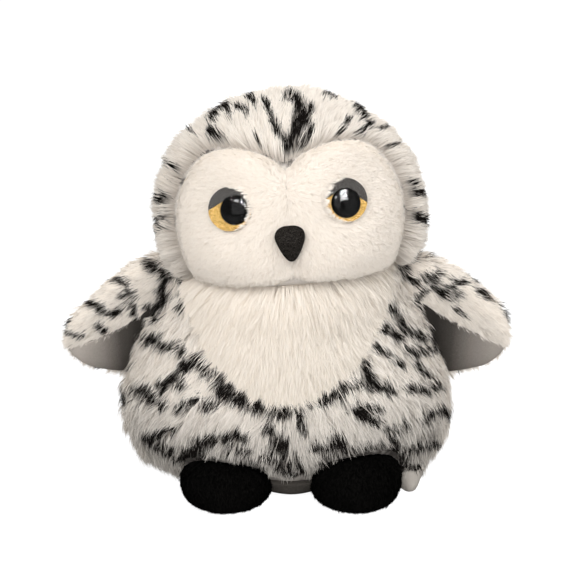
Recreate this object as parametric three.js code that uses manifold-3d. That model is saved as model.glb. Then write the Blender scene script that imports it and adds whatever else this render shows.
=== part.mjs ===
// Plush owl that sits upright: a round furry body and head, two mitten wings, two feet and a tail.
// Millimetres, +Z up, the owl faces -Y, and left is the -X side, as someone facing the owl sees it.
// The origin is on the surface that the owl sits on, under the middle of its body.

import * as THREE from 'three';
import { mergeVertices } from 'three/addons/utils/BufferGeometryUtils.js';
import Module from 'manifold-3d';

const wasm = await Module();
wasm.setup();

// Sewing: gaps, cutting runs and the cloths' thickness with their pile as it lies
const seamGap = 0.3;
const overrun = 6;
const furPile = 6.5;
const facePile = 4;
const wingPile = 5.5;
const liningPile = 3.5;
const footPile = 3;
const beakCloth = 1.4;
const baseCloth = 2;
const backingCloth = 1;
const flatDepth = 0.5;

// Body
const bodyHalfWidth = 90.5;
const bodyHalfDepth = 73;
const neckHeight = 120;
const baseSeamHeight = 11;
const bellyTuckHeight = 42;
const bellyTuckShare = 0.74;
const sideSeamSetBack = 10;

// Chest bib
const bibHalfWidth = 50;
const bibDrop = 58;

// Head
const headHalfWidth = 73;
const headHalfDepth = 66;
const headHeight = 91;
const headBottomDrop = 12;
const headShift = 4.3;
const headRollDegrees = 4.6;

// Face mask
const maskHalfWidth = 59.5;
const maskHeight = 68.5;

// Relief of the face and crown: edges rolled in along the mask, hollows round the eyes, the beak and
// the seams, and full cheeks and brows
const faceRollDepth = 3;
const faceRollWidth = 8;
const crownRollDepth = 4.5;
const crownRollWidth = 10;
const chinTuckDepth = 1.8;
const chinTuckHeight = 5.6;
const eyeDentDepth = 1.2;
const cheekFullness = 3;
const browFullness = 1.8;
const notchGrooveDepth = 2.6;
const notchGrooveWidth = 6;
const chinGrooveDepth = 3;
const chinGrooveWidth = 6.5;
const beakDentDepth = 1.8;

// Eyes: a black stem with its flange and pupil, a glitter ring, a clear lens and a lock washer
const eyeSpacing = 57;
const eyeHeight = 42;
const eyeTurnDegrees = 13;
const eyeLiftDegrees = 17;
const eyeDiameter = 22;
const pupilDiameter = 14;
const pupilInward = 0.9;
const pupilDrop = 0.8;
const flangeThickness = 1.5;
const irisThickness = 1;
const irisRim = 0.5;
const lensRimHeight = 1.2;
const lensHeight = 5.2;
const pupilHeight = 3.4;
const stemDiameter = 5;
const stemLength = 16;
const washerDiameter = 18;
const washerThickness = 1.5;
const pressGap = 0.3;

// Beak
const beakWidth = 15.5;
const beakHeight = 18.5;
const beakReach = 9.5;
const beakTipHeight = 15;

// Wings
const wingLength = 72;
const wingHalfChord = 34.5;
const wingHalfThickness = 9.5;
const wingDroopDegrees = 32;
const wingPitchDegrees = 22;
const wingRootInset = 10;
const wingRootDrop = 20;
const wingSetBack = 2;
const wingHingeDrop = 10;
const liningSeamShare = -0.2;
const wingRaiseDegrees = 35;
const wingLowerDegrees = 5;

// Feet
const footHalfWidth = 25.5;
const footHalfLength = 27;
const footHeight = 30;
const footSpacing = 67.6;
const footShift = 2.7;
const footAhead = 0.7;
const soleSeamHeight = 7;
const toeLiftDegrees = 14;

// Tail
const tailHalfWidth = 26;
const tailHalfThickness = 7;
const tailLength = 58;
const tailRootHeight = 48;
const tailRootInset = 14;
const tailDroopDegrees = 54;
const tailLiftDegrees = 30;

// Filling
const pelletBagHalfWidth = 55;
const pelletBagHalfDepth = 42;
const pelletBagHeight = 36;

// Outlines from tip to tip, as shares of the form's half width and of its height
const bodyOutlineShares = [
  [0, 0], [0.4, 0.0008], [0.68, 0.004], [0.86, 0.045], [0.955, 0.135], [0.998, 0.255], [1, 0.36],
  [0.965, 0.48], [0.9, 0.61], [0.815, 0.75], [0.735, 0.88], [0.68, 0.99], [0.62, 1.07], [0.4, 1.13],
  [0, 1.15],
];
const headOutlineShares = [
  [0, -0.13], [0.5, -0.12], [0.82, -0.065], [0.95, 0.02], [0.993, 0.12], [1, 0.24], [0.98, 0.38],
  [0.92, 0.53], [0.82, 0.67], [0.685, 0.79], [0.5, 0.895], [0.27, 0.965], [0, 1],
];
const wingOutlineShares = [
  [0, -0.22], [0.5, -0.19], [0.8, -0.08], [0.95, 0.08], [1, 0.28], [0.93, 0.5], [0.8, 0.7],
  [0.62, 0.86], [0.36, 0.97], [0, 1],
];
const footOutlineShares = [
  [0, 0], [0.45, 0.001], [0.72, 0.012], [0.92, 0.13], [1, 0.36], [0.96, 0.6], [0.78, 0.84],
  [0.45, 0.97], [0, 1],
];
const tailOutlineShares = [
  [0, 0], [0.5, 0.04], [0.72, 0.16], [0.88, 0.4], [1, 0.68], [0.92, 0.86], [0.6, 0.97], [0, 1],
];
const beakOutlineShares = [
  [0, 0], [0.3, 0.07], [0.62, 0.27], [0.9, 0.54], [1, 0.72], [0.84, 0.89], [0.45, 0.985], [0, 1],
];
const pelletOutlineShares = [
  [0, 0], [0.5, 0.002], [0.8, 0.02], [0.97, 0.2], [1, 0.42], [0.85, 0.74], [0.5, 0.95], [0, 1],
];

// Mask edge from the notch over one brow and down one cheek, as shares of the mask's sizes
const maskEdgeShares = [
  [0, 0.89], [0.2, 0.965], [0.46, 1], [0.7, 0.94], [0.88, 0.79], [0.98, 0.6], [1, 0.42],
  [0.955, 0.2], [0.87, 0],
];
// Mounds and hollows of the face: their middles and spreads as shares of the mask's sizes, then where
// the grooves start and end as shares of its height, and the hollows round an eye as shares of its
// radius and behind the beak as shares of the beak's sizes
const cheekPlaceShares = [0.555, 0.235];
const cheekSpreadShares = [0.37, 0.235];
const browPlaceShares = [0.455, 0.875];
const browSpreadShares = [0.335, 0.145];
const notchRunShares = [0.63, 0.89];
const chinRunShares = [0.165, 0.28];
const eyeDentShares = [0.82, 2];
const beakDentPlaceShares = [0, 0.6];
const beakDentSpreadShares = [0.77, 0.76];
// Bib edge from its top corner to its lowest point, as shares of the bib's sizes
const bibEdgeShares = [[1, 0], [0.97, 0.2], [0.87, 0.45], [0.68, 0.72], [0.38, 0.94], [0, 1]];

// How finely the forms are faceted, as counts
const bodyFacets = { rings: 16, sides: 32 };
const headFacets = { rings: 14, sides: 32 };
const reliefFacets = { rings: 28, sides: 64 };
const limbFacets = { rings: 12, sides: 16 };
const smallFacets = { rings: 8, sides: 12 };
const roundSides = 18;
const pupilSteps = 3;
const lensSteps = 4;
const edgeSteps = 3;
const rimSteps = 64;
const sweepSteps = 5;

const degrees = THREE.MathUtils.degToRad;

// A filling has half as many sides as its cover, so that its corners lie behind the cover's own
function plainer(facets) {
  return { rings: facets.rings, sides: facets.sides / 2 };
}

// A closed geometry as a solid that can be joined and cut
function solidOf(geometry) {
  const bare = geometry.clone();
  bare.deleteAttribute('normal');
  bare.deleteAttribute('uv');
  const merged = mergeVertices(bare);
  const corners = merged.index.array;
  const kept = [];
  for (let i = 0; i < corners.length; i += 3) {
    const [a, b, c] = corners.slice(i, i + 3);
    if (a !== b && b !== c && c !== a) kept.push(a, b, c);
  }
  const vertProperties = merged.attributes.position.array;
  const triVerts = new Uint32Array(kept);
  return new wasm.Manifold(new wasm.Mesh({ numProp: 3, vertProperties, triVerts }));
}

function geometryOf(solid) {
  const mesh = solid.getMesh();
  const geometry = new THREE.BufferGeometry();
  geometry.setAttribute('position', new THREE.BufferAttribute(mesh.vertProperties, 3));
  geometry.setIndex(new THREE.BufferAttribute(mesh.triVerts, 1));
  geometry.computeVertexNormals();
  return geometry;
}

function moved(solid, matrix) {
  return solid.transform(matrix.elements);
}

// The largest body that is left of a solid after cuts
function mainBody(solid) {
  return solid.decompose().reduce((most, other) => (other.volume() > most.volume() ? other : most));
}

// A box between two opposite corners
function block(low, high) {
  const size = high.clone().sub(low);
  const box = new THREE.BoxGeometry(size.x, size.y, size.z);
  box.translate((low.x + high.x) / 2, (low.y + high.y) / 2, (low.z + high.z) / 2);
  return solidOf(box);
}

// Everything on one side of a plane across an axis, as a block that is wide enough for any piece
const reach = bodyHalfWidth + headHeight + wingLength;

function above(axis, height) {
  const low = new THREE.Vector3(-reach, -reach, -reach);
  low[axis] = height;
  return block(low, new THREE.Vector3(reach, reach, reach));
}

function below(axis, height) {
  const high = new THREE.Vector3(reach, reach, reach);
  high[axis] = height;
  return block(new THREE.Vector3(-reach, -reach, -reach), high);
}

// The rings of a swelling form about +Z: half width, half depth and height of each, drawn in by an inset
function ringsOf(form, facets, inset) {
  const corners = form.shares.map(([r, h]) => new THREE.Vector2(r * form.halfWidth, h * form.height));
  const curve = new THREE.SplineCurve(corners);
  const depthRatio = form.halfDepth / form.halfWidth;
  const rings = [];
  for (let i = 0; i <= facets.rings; i += 1) {
    const atTip = i === 0 || i === facets.rings;
    const point = curve.getPointAt(i / facets.rings);
    const along = curve.getTangentAt(i / facets.rings);
    const outward = atTip ? new THREE.Vector2(0, i === 0 ? -1 : 1) : new THREE.Vector2(along.y, -along.x);
    const halfWidth = atTip ? 0 : point.x - inset * outward.x;
    const halfDepth = atTip ? 0 : point.x * depthRatio - inset * outward.x;
    const height = point.y - inset * outward.y;
    if (atTip || Math.min(halfWidth, halfDepth) > seamGap) {
      rings.push({ halfWidth, halfDepth, height, outward });
    }
  }
  return rings;
}

// How far a form's front is drawn back at a height, where the feet sit under its belly
function tuckAt(form, height) {
  if (!form.tuck || height >= form.tuck.height) return 1;
  const rise = Math.max(height, 0) / form.tuck.height;
  const ease = (1 - Math.cos(Math.PI * rise)) / 2;
  return form.tuck.share + (1 - form.tuck.share) * ease;
}

// The way out of a form at a place on one of its rings
function wayOut(place, ring) {
  const flat = new THREE.Vector2(place.x / ring.halfWidth ** 2, place.y / ring.halfDepth ** 2).normalize();
  return new THREE.Vector3(flat.x * ring.outward.x, flat.y * ring.outward.x, ring.outward.y);
}

// A swelling form as a solid; a relief gives how far each place on it stands out
function plump(form, facets, inset = 0, relief = null) {
  const rings = ringsOf(form, facets, inset);
  const outline = rings.map((ring) => new THREE.Vector2(ring.halfWidth, ring.height));
  const lathe = new THREE.LatheGeometry(outline, facets.sides);
  lathe.rotateX(Math.PI / 2);
  const places = lathe.attributes.position;
  for (let i = 0; i < places.count; i += 1) {
    const ring = rings[i % rings.length];
    if (ring.halfWidth > 0) {
      const y = places.getY(i) * (ring.halfDepth / ring.halfWidth);
      places.setY(i, y < 0 ? y * tuckAt(form, ring.height) : y);
      if (relief) {
        const place = new THREE.Vector3().fromBufferAttribute(places, i);
        place.addScaledVector(wayOut(place, ring), relief(place));
        places.setXYZ(i, place.x, place.y, place.z);
      }
    }
  }
  return solidOf(lathe);
}

// A form's half width and half depth at a height
function sectionAt(form, facets, inset, z) {
  const rings = ringsOf(form, facets, inset);
  const upper = rings.findIndex((ring, i) => i > 0 && ring.height >= z);
  const [low, high] = [rings[upper - 1], rings[upper]];
  const share = (z - low.height) / (high.height - low.height);
  return {
    halfWidth: THREE.MathUtils.lerp(low.halfWidth, high.halfWidth, share),
    halfDepth: THREE.MathUtils.lerp(low.halfDepth, high.halfDepth, share),
  };
}

// How far in front of its axis a form's surface is at a place across and up it
function frontOf(form, facets, inset, x, z) {
  const section = sectionAt(form, facets, inset, z);
  const bulge = Math.sqrt(Math.max(0, 1 - (x / section.halfWidth) ** 2));
  return -section.halfDepth * bulge * tuckAt(form, z);
}

// A prism that runs along Y, from behind to in front, with one edge of its outline mirrored to both sides
function mirroredPrism(edge, back, front) {
  const curve = new THREE.SplineCurve(edge);
  const right = curve.getSpacedPoints(edge.length * edgeSteps);
  const left = right.filter((point) => point.x > 0).map((point) => new THREE.Vector2(-point.x, point.y));
  const outline = new THREE.Shape([...right, ...left.reverse()]);
  const prism = new THREE.ExtrudeGeometry(outline, { depth: back - front, bevelEnabled: false });
  prism.rotateX(Math.PI / 2);
  prism.translate(0, back, 0);
  return solidOf(prism);
}

const bodyForm = {
  shares: bodyOutlineShares,
  halfWidth: bodyHalfWidth,
  halfDepth: bodyHalfDepth,
  height: neckHeight,
  tuck: { height: bellyTuckHeight, share: bellyTuckShare },
};
const headForm = {
  shares: headOutlineShares, halfWidth: headHalfWidth, halfDepth: headHalfDepth, height: headHeight,
};
const wingForm = {
  shares: wingOutlineShares, halfWidth: wingHalfChord, halfDepth: wingHalfThickness, height: wingLength,
};
const footForm = {
  shares: footOutlineShares, halfWidth: footHalfWidth, halfDepth: footHalfLength, height: footHeight,
};
const tailForm = {
  shares: tailOutlineShares, halfWidth: tailHalfWidth, halfDepth: tailHalfThickness, height: tailLength,
};
const beakForm = {
  shares: beakOutlineShares, halfWidth: beakWidth / 2, halfDepth: beakReach, height: beakHeight,
};
const pelletForm = {
  shares: pelletOutlineShares,
  halfWidth: pelletBagHalfWidth,
  halfDepth: pelletBagHalfDepth,
  height: pelletBagHeight,
};

const white = { color: 0xe9e3dc, roughness: 0.95, metalness: 0 };
const cream = { color: 0xf3ebe1, roughness: 0.95, metalness: 0 };
const black = { color: 0x1c1a19, roughness: 0.9, metalness: 0 };
const beige = { color: 0x9a8f84, roughness: 0.9, metalness: 0 };
const grey = { color: 0x8d857e, roughness: 0.9, metalness: 0 };
const charcoal = { color: 0x2e2c2b, roughness: 0.85, metalness: 0 };
const filling = { color: 0xf4f4f0, roughness: 1, metalness: 0 };
const pellets = { color: 0xd8d2c2, roughness: 0.8, metalness: 0 };
const blackPlastic = { color: 0x0c0c0c, roughness: 0.2, metalness: 0 };
const clearPlastic = { color: 0xf2f4f5, roughness: 0.05, metalness: 0 };
const goldGlitter = { color: 0xd9a63f, roughness: 0.4, metalness: 0.5 };
const palePlastic = { color: 0xe6e2d8, roughness: 0.5, metalness: 0 };

function piece(name, solid, finish) {
  const mesh = new THREE.Mesh(geometryOf(solid), new THREE.MeshStandardMaterial(finish));
  mesh.name = name;
  return mesh;
}

const owl = new THREE.Group();
const head = new THREE.Group();
head.position.set(headShift, 0, neckHeight);
head.rotation.y = -degrees(headRollDegrees);
owl.add(head);
head.updateMatrix();
const headToOwl = head.matrix.clone();

// Body: cover, base and fillings, cut off level with the head's tilted neck seam
const aboveNeck = moved(above('z', -seamGap / 2), headToOwl);
const settle = new THREE.Matrix4().makeTranslation(0, 0, -flatDepth);

function bodySolid(facets, inset) {
  const form = plump(bodyForm, facets, inset);
  return moved(form.subtract(below('z', flatDepth + inset)), settle);
}

function bibPrism(grow) {
  const edge = bibEdgeShares.map(([across, down]) => (
    new THREE.Vector2(across * (bibHalfWidth + grow), neckHeight - down * (bibDrop + grow))
  ));
  edge.unshift(new THREE.Vector2(bibHalfWidth + grow, neckHeight + headHeight / 2));
  return mirroredPrism(edge, 0, -(bodyHalfDepth + overrun));
}

function makeBody() {
  const outside = bodySolid(bodyFacets, 0);
  const cover = outside.subtract(bodySolid(bodyFacets, furPile)).subtract(aboveNeck);
  const furPart = cover.intersect(above('z', baseSeamHeight + seamGap));
  const bib = furPart.intersect(bibPrism(0));
  const aroundBib = furPart.subtract(bibPrism(seamGap));
  const front = aroundBib.intersect(below('y', sideSeamSetBack - seamGap));
  const back = aroundBib.intersect(above('y', sideSeamSetBack));
  const leftSide = below('x', -seamGap / 2);
  const rightSide = above('x', seamGap / 2);
  const base = outside.subtract(bodySolid(bodyFacets, baseCloth)).intersect(below('z', baseSeamHeight));
  const bagPlace = new THREE.Matrix4().makeTranslation(0, 0, baseCloth + seamGap);
  const bag = moved(plump(pelletForm, smallFacets), bagPlace);
  const bagRoom = moved(plump(pelletForm, smallFacets, -seamGap), bagPlace)
    .add(moved(plump(pelletForm, smallFacets, -seamGap), bagPlace.clone().setPosition(0, 0, baseCloth)));
  const lowFilling = bodySolid(plainer(bodyFacets), baseCloth + seamGap)
    .intersect(below('z', baseSeamHeight - seamGap));
  const stuffing = bodySolid(plainer(bodyFacets), furPile + seamGap)
    .add(lowFilling)
    .subtract(bagRoom)
    .subtract(aboveNeck);
  owl.add(
    piece('chest_bib', bib, cream),
    piece('body_fur_left', front.intersect(leftSide), white),
    piece('body_fur_right', front.intersect(rightSide), white),
    piece('back_fur_left', back.intersect(leftSide), white),
    piece('back_fur_right', back.intersect(rightSide), white),
    piece('base_panel', base, beige),
    piece('body_stuffing', stuffing, filling),
    piece('pellet_bag', bag, pellets),
  );
}

// Head: crown and face covers over the filling, all in the head's own frame
function maskPrism(grow) {
  const edge = maskEdgeShares.map(([across, up]) => (
    new THREE.Vector2(across * (maskHalfWidth + grow), up * (maskHeight + grow))
  ));
  const [lastAcross] = maskEdgeShares.at(-1);
  edge.push(new THREE.Vector2(lastAcross * (maskHalfWidth + grow), -headBottomDrop));
  return mirroredPrism(edge, 0, -(headHalfDepth + overrun));
}

// One side of the mask's edge, laid on the front of the head at an inset
function maskRim(inset) {
  const edge = maskEdgeShares.map(([across, up]) => new THREE.Vector2(across * maskHalfWidth, up * maskHeight));
  return new THREE.SplineCurve(edge).getSpacedPoints(rimSteps).map(({ x, y: z }) => (
    new THREE.Vector3(x, frontOf(headForm, reliefFacets, inset, x, z), z)
  ));
}

// 1 on the mask's edge, 0 once a place is as far from it as the roll is wide
function edgeRoll(place, rim, width) {
  const oneSide = new THREE.Vector3(Math.abs(place.x), place.y, place.z);
  const away = Math.min(...rim.map((spot) => spot.distanceTo(oneSide)));
  return 1 - THREE.MathUtils.smoothstep(away, 0, width);
}

// The height of a soft round mound at a place, from 1 over its middle
function mound(x, z, [middleX, middleZ], [spreadX, spreadZ]) {
  return Math.exp(-(((x - middleX) / spreadX) ** 2) - ((z - middleZ) / spreadZ) ** 2);
}

// How far the face's plush stands out from its plain surface, never deeper than its backing cloth
function faceRelief(place, rim) {
  const { smoothstep } = THREE.MathUtils;
  const x = Math.abs(place.x);
  const { z } = place;
  const ofMask = ([across, up]) => [across * maskHalfWidth, up * maskHeight];
  const ofBeak = ([across, up]) => [across * beakWidth, up * beakHeight];
  const [notchStart, notchEnd] = notchRunShares.map((share) => share * maskHeight);
  const [chinStart, chinEnd] = chinRunShares.map((share) => share * maskHeight);
  const [dentStart, dentEnd] = eyeDentShares.map((share) => share * (eyeDiameter / 2));
  const [beakMiddle, beakMiddleUp] = ofBeak(beakDentPlaceShares);
  const fromEye = Math.hypot(x - eyeSpacing / 2, z - eyeHeight);
  const fullness = cheekFullness * mound(x, z, ofMask(cheekPlaceShares), ofMask(cheekSpreadShares))
    + browFullness * mound(x, z, ofMask(browPlaceShares), ofMask(browSpreadShares));
  const notch = smoothstep(z, notchStart, notchEnd) * Math.exp(-((x / notchGrooveWidth) ** 2));
  const chin = (1 - smoothstep(z, chinStart, chinEnd)) * Math.exp(-((x / chinGrooveWidth) ** 2));
  const beakSeat = mound(x, z, [beakMiddle, beakTipHeight + beakMiddleUp], ofBeak(beakDentSpreadShares));
  const hollow = faceRollDepth * edgeRoll(place, rim, faceRollWidth)
    + chinTuckDepth * (1 - smoothstep(z, 0, chinTuckHeight))
    + eyeDentDepth * (1 - smoothstep(fromEye, dentStart, dentEnd))
    + notchGrooveDepth * notch
    + chinGrooveDepth * chin
    + beakDentDepth * beakSeat;
  return Math.max(fullness - hollow, backingCloth - facePile);
}

// The face's outside with its relief
function faceOutside(inset) {
  const rim = maskRim(inset);
  return plump(headForm, reliefFacets, inset, (place) => faceRelief(place, rim));
}

// The crown's outside, rolled down to the face along the mask's edge
function crownOutside() {
  const rim = maskRim(0);
  return plump(headForm, reliefFacets, 0, (place) => -crownRollDepth * edgeRoll(place, rim, crownRollWidth));
}

// The eye's frame in the head: its middle on the face's surface, its axis turned out and lifted
function eyeFrame(side) {
  const x = side * eyeSpacing / 2;
  const y = frontOf(headForm, reliefFacets, furPile - facePile, x, eyeHeight);
  const turn = degrees(eyeTurnDegrees) * side;
  const lift = degrees(eyeLiftDegrees);
  const outward = new THREE.Vector3(
    Math.sin(turn) * Math.cos(lift), -Math.cos(turn) * Math.cos(lift), Math.sin(lift),
  );
  const frame = new THREE.Group();
  frame.position.set(x, y, eyeHeight);
  frame.quaternion.setFromUnitVectors(new THREE.Vector3(0, 0, 1), outward);
  frame.updateMatrix();
  return frame;
}

function disc(diameter, low, high) {
  const cylinder = new THREE.CylinderGeometry(diameter / 2, diameter / 2, high - low, roundSides);
  cylinder.rotateX(Math.PI / 2);
  cylinder.translate(0, 0, (low + high) / 2);
  return solidOf(cylinder);
}

// Heights of the eye's layers along its axis, from the face's surface
const cloth = { front: backingCloth - facePile, back: -facePile };
const flange = { back: cloth.front + pressGap, front: cloth.front + pressGap + flangeThickness };
const iris = { back: flange.front + pressGap, front: flange.front + pressGap + irisThickness };
const lens = { back: iris.front + pressGap, front: iris.front + pressGap + lensHeight };
const washer = { front: cloth.back - pressGap, back: cloth.back - pressGap - washerThickness };
const stemEnd = flange.back - stemLength;

function eyeRoomInFace() {
  return disc(eyeDiameter + 2 * seamGap, cloth.front, lens.front + overrun)
    .add(disc(stemDiameter + 2 * seamGap, stemEnd, lens.front))
    .add(disc(washerDiameter + 2 * seamGap, stemEnd, cloth.back));
}

function eyeRoomInFilling() {
  return disc(washerDiameter + 2 * seamGap, washer.back - seamGap, lens.front)
    .add(disc(stemDiameter + 2 * seamGap, stemEnd - seamGap, lens.front));
}

// A round piece about its own axis from its half outline, which starts and ends on the axis
function turned(corners) {
  const lathe = new THREE.LatheGeometry(corners.map(([r, z]) => new THREE.Vector2(r, z)), roundSides);
  lathe.rotateX(Math.PI / 2);
  return solidOf(lathe);
}

// A shallow dome's half outline, from its rim to its top on the axis
function domeCorners(radius, low, high, count) {
  const corners = [];
  for (let i = 0; i <= count; i += 1) {
    const angle = (Math.PI / 2) * (i / count);
    corners.push([radius * Math.cos(angle), low + (high - low) * Math.sin(angle)]);
  }
  corners[count][0] = 0;
  return corners;
}

function makeEye(side, name) {
  const frame = eyeFrame(side);
  const radius = eyeDiameter / 2;
  const pupilRadius = pupilDiameter / 2;
  const pupilTop = flange.front + pupilHeight;
  const pupilEdge = iris.front;
  const offset = [-side * pupilInward, -pupilDrop, 0];
  const pupil = turned([
    [0, flange.back], [pupilRadius, flange.back],
    ...domeCorners(pupilRadius, pupilEdge, pupilTop, pupilSteps),
  ]).translate(offset);
  const stem = turned([
    [0, stemEnd], [stemDiameter / 2, stemEnd], [stemDiameter / 2, flange.back], [radius, flange.back],
    [radius, flange.front], [0, flange.front],
  ]).add(pupil);
  const ringRoom = disc(pupilDiameter + 2 * pressGap, iris.back - overrun, iris.front + overrun)
    .translate(offset);
  const ring = disc(eyeDiameter - 2 * irisRim, iris.back, iris.front).subtract(ringRoom);
  const lensRim = lens.back + lensRimHeight;
  const pupilRoom = turned([
    [0, lens.back - overrun], [pupilRadius + pressGap, lens.back - overrun],
    ...domeCorners(pupilRadius + pressGap, pupilEdge + pressGap, pupilTop + pressGap, pupilSteps),
  ]).translate(offset);
  const lensSolid = turned([
    [0, lens.back], [radius, lens.back], ...domeCorners(radius, lensRim, lens.front, lensSteps),
  ]).subtract(pupilRoom);
  const lock = disc(washerDiameter, washer.back, washer.front)
    .subtract(disc(stemDiameter + 2 * pressGap, washer.back - overrun, washer.front + overrun));
  frame.add(
    piece(`eye_stem_${name}`, stem, blackPlastic),
    piece(`eye_iris_${name}`, ring, goldGlitter),
    piece(`eye_lens_${name}`, lensSolid, clearPlastic),
    piece(`eye_washer_${name}`, lock, palePlastic),
  );
  head.add(frame);
}

function makeBeak() {
  const middle = beakTipHeight + beakHeight / 2;
  const faceSink = furPile - facePile;
  const place = new THREE.Matrix4()
    .makeTranslation(0, frontOf(headForm, reliefFacets, faceSink, 0, middle), beakTipHeight);
  const behind = faceOutside(faceSink - seamGap);
  const outside = moved(plump(beakForm, smallFacets), place);
  const room = moved(plump(beakForm, smallFacets, beakCloth), place);
  const inside = moved(plump(beakForm, smallFacets, beakCloth + seamGap), place);
  head.add(
    piece('beak_cover', outside.subtract(room).subtract(behind), charcoal),
    piece('beak_stuffing', inside.subtract(behind), filling),
  );
}

function makeHead() {
  const leftSide = below('x', -seamGap / 2);
  const rightSide = above('x', seamGap / 2);
  const aboveSeam = above('z', seamGap / 2);
  const inside = plump(headForm, headFacets, furPile);
  const crown = crownOutside()
    .subtract(inside)
    .subtract(maskPrism(seamGap))
    .intersect(aboveSeam);
  const face = faceOutside(furPile - facePile)
    .subtract(inside)
    .intersect(maskPrism(0))
    .intersect(aboveSeam);
  const frames = [eyeFrame(-1), eyeFrame(1)];
  const [faceLeftRoom, faceRightRoom] = frames.map((frame) => moved(eyeRoomInFace(), frame.matrix));
  const fillingRooms = frames.map((frame) => moved(eyeRoomInFilling(), frame.matrix));
  const stuffing = fillingRooms.reduce(
    (rest, room) => rest.subtract(room),
    plump(headForm, plainer(headFacets), furPile + seamGap).intersect(aboveSeam),
  );
  head.add(
    piece('crown_fur_left', crown.intersect(leftSide), white),
    piece('crown_fur_right', crown.intersect(rightSide), white),
    piece('face_left', face.intersect(leftSide).subtract(faceLeftRoom), cream),
    piece('face_right', face.intersect(rightSide).subtract(faceRightRoom), cream),
    piece('head_stuffing', stuffing, filling),
  );
}

// What the wings, feet and tail stay clear of: the body and head with the seams' gap round them
const bodyKeepOut = moved(plump(bodyForm, bodyFacets, -seamGap), settle);
const headKeepOut = moved(plump(headForm, reliefFacets, -seamGap), headToOwl);
const keepOut = bodyKeepOut.add(headKeepOut);

// A limb's room: what it must not enter at any angle, seen from the limb's own frame
function sweptKeepOut(obstacle, hinge, axis, fromDegrees, toDegrees, limbToOwl) {
  const rooms = [];
  for (let i = 0; i <= sweepSteps; i += 1) {
    const angle = degrees(THREE.MathUtils.lerp(fromDegrees, toDegrees, i / sweepSteps));
    const turn = new THREE.Matrix4()
      .makeTranslation(hinge.x, hinge.y, hinge.z)
      .multiply(new THREE.Matrix4().makeRotationAxis(axis, angle))
      .multiply(new THREE.Matrix4().makeTranslation(-hinge.x, -hinge.y, -hinge.z));
    rooms.push(moved(obstacle, turn.multiply(limbToOwl).invert()));
  }
  return rooms.reduce((joined, room) => joined.add(room));
}

// Wings: flat mittens, fur over the back and front edge, a smooth lining under the trailing half
function makeWing(side, name) {
  const droop = degrees(wingDroopDegrees);
  const pitch = degrees(wingPitchDegrees);
  const span = new THREE.Vector3(side * Math.cos(droop), 0, -Math.sin(droop));
  const trailing = new THREE.Vector3(0, Math.sin(pitch), -Math.cos(pitch));
  const chord = trailing.addScaledVector(span, -trailing.dot(span)).normalize();
  const thickness = span.clone().cross(chord);
  const rootHeight = neckHeight - wingRootDrop;
  const rootHalfSpan = sectionAt(bodyForm, bodyFacets, wingRootInset, rootHeight).halfWidth;
  const root = new THREE.Vector3(side * rootHalfSpan, wingSetBack, rootHeight);
  const hingeHeight = neckHeight - wingHingeDrop;
  const skin = sectionAt(bodyForm, bodyFacets, 0, hingeHeight).halfWidth + seamGap;
  const hinge = new THREE.Vector3(side * skin, wingSetBack, hingeHeight);
  const frame = new THREE.Group();
  const basis = new THREE.Matrix4().makeBasis(chord, thickness, span);
  frame.quaternion.setFromRotationMatrix(basis);
  frame.position.copy(root);
  frame.updateMatrix();
  const axis = new THREE.Vector3(0, -side, 0);
  const room = sweptKeepOut(
    keepOut, hinge, axis, -wingLowerDegrees, wingRaiseDegrees, frame.matrix,
  );
  const seam = liningSeamShare * wingHalfChord;
  const under = side < 0 ? above('y', 0) : below('y', 0);
  const underGrown = side < 0 ? above('y', -seamGap) : below('y', seamGap);
  const outside = plump(wingForm, limbFacets).subtract(room);
  const liningOutside = plump(wingForm, limbFacets, wingPile - liningPile).subtract(room);
  const inside = plump(wingForm, limbFacets, wingPile);
  const fur = outside.subtract(inside).subtract(above('x', seam - seamGap).intersect(underGrown));
  const lining = liningOutside.subtract(inside).intersect(above('x', seam).intersect(under));
  const stuffing = plump(wingForm, plainer(limbFacets), wingPile + seamGap).subtract(room);
  frame.add(
    piece(`wing_fur_${name}`, fur, white),
    piece(`wing_lining_${name}`, lining, grey),
    piece(`wing_stuffing_${name}`, stuffing, filling),
  );
  owl.add(frame);
}

// Feet: buns under the front of the belly, hinged at the heel seam
function makeFoot(side, name) {
  const x = side * footSpacing / 2 + footShift;
  const skin = frontOf(bodyForm, bodyFacets, 0, x, baseSeamHeight) - seamGap;
  const middle = frontOf(bodyForm, bodyFacets, 0, footSpacing / 2, baseSeamHeight) - footAhead;
  const hinge = new THREE.Vector3(x, skin, baseSeamHeight);
  const frame = new THREE.Group();
  frame.position.set(x, middle, -flatDepth);
  frame.updateMatrix();
  const axis = new THREE.Vector3(-1, 0, 0);
  const room = sweptKeepOut(bodyKeepOut, hinge, axis, 0, toeLiftDegrees, frame.matrix);
  const heelCut = above('y', skin - middle);
  const footSolid = (facets, inset) => plump(footForm, facets, inset)
    .subtract(below('z', flatDepth + inset))
    .subtract(room)
    .subtract(heelCut);
  const cover = footSolid(limbFacets, 0).subtract(plump(footForm, limbFacets, footPile)
    .subtract(below('z', flatDepth + footPile)));
  const seam = soleSeamHeight;
  frame.add(
    piece(`foot_top_${name}`, cover.intersect(above('z', seam + seamGap)), black),
    piece(`foot_sole_${name}`, cover.intersect(below('z', seam)), black),
    piece(`foot_stuffing_${name}`, mainBody(footSolid(plainer(limbFacets), footPile + seamGap)), filling),
  );
  owl.add(frame);
}

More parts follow.
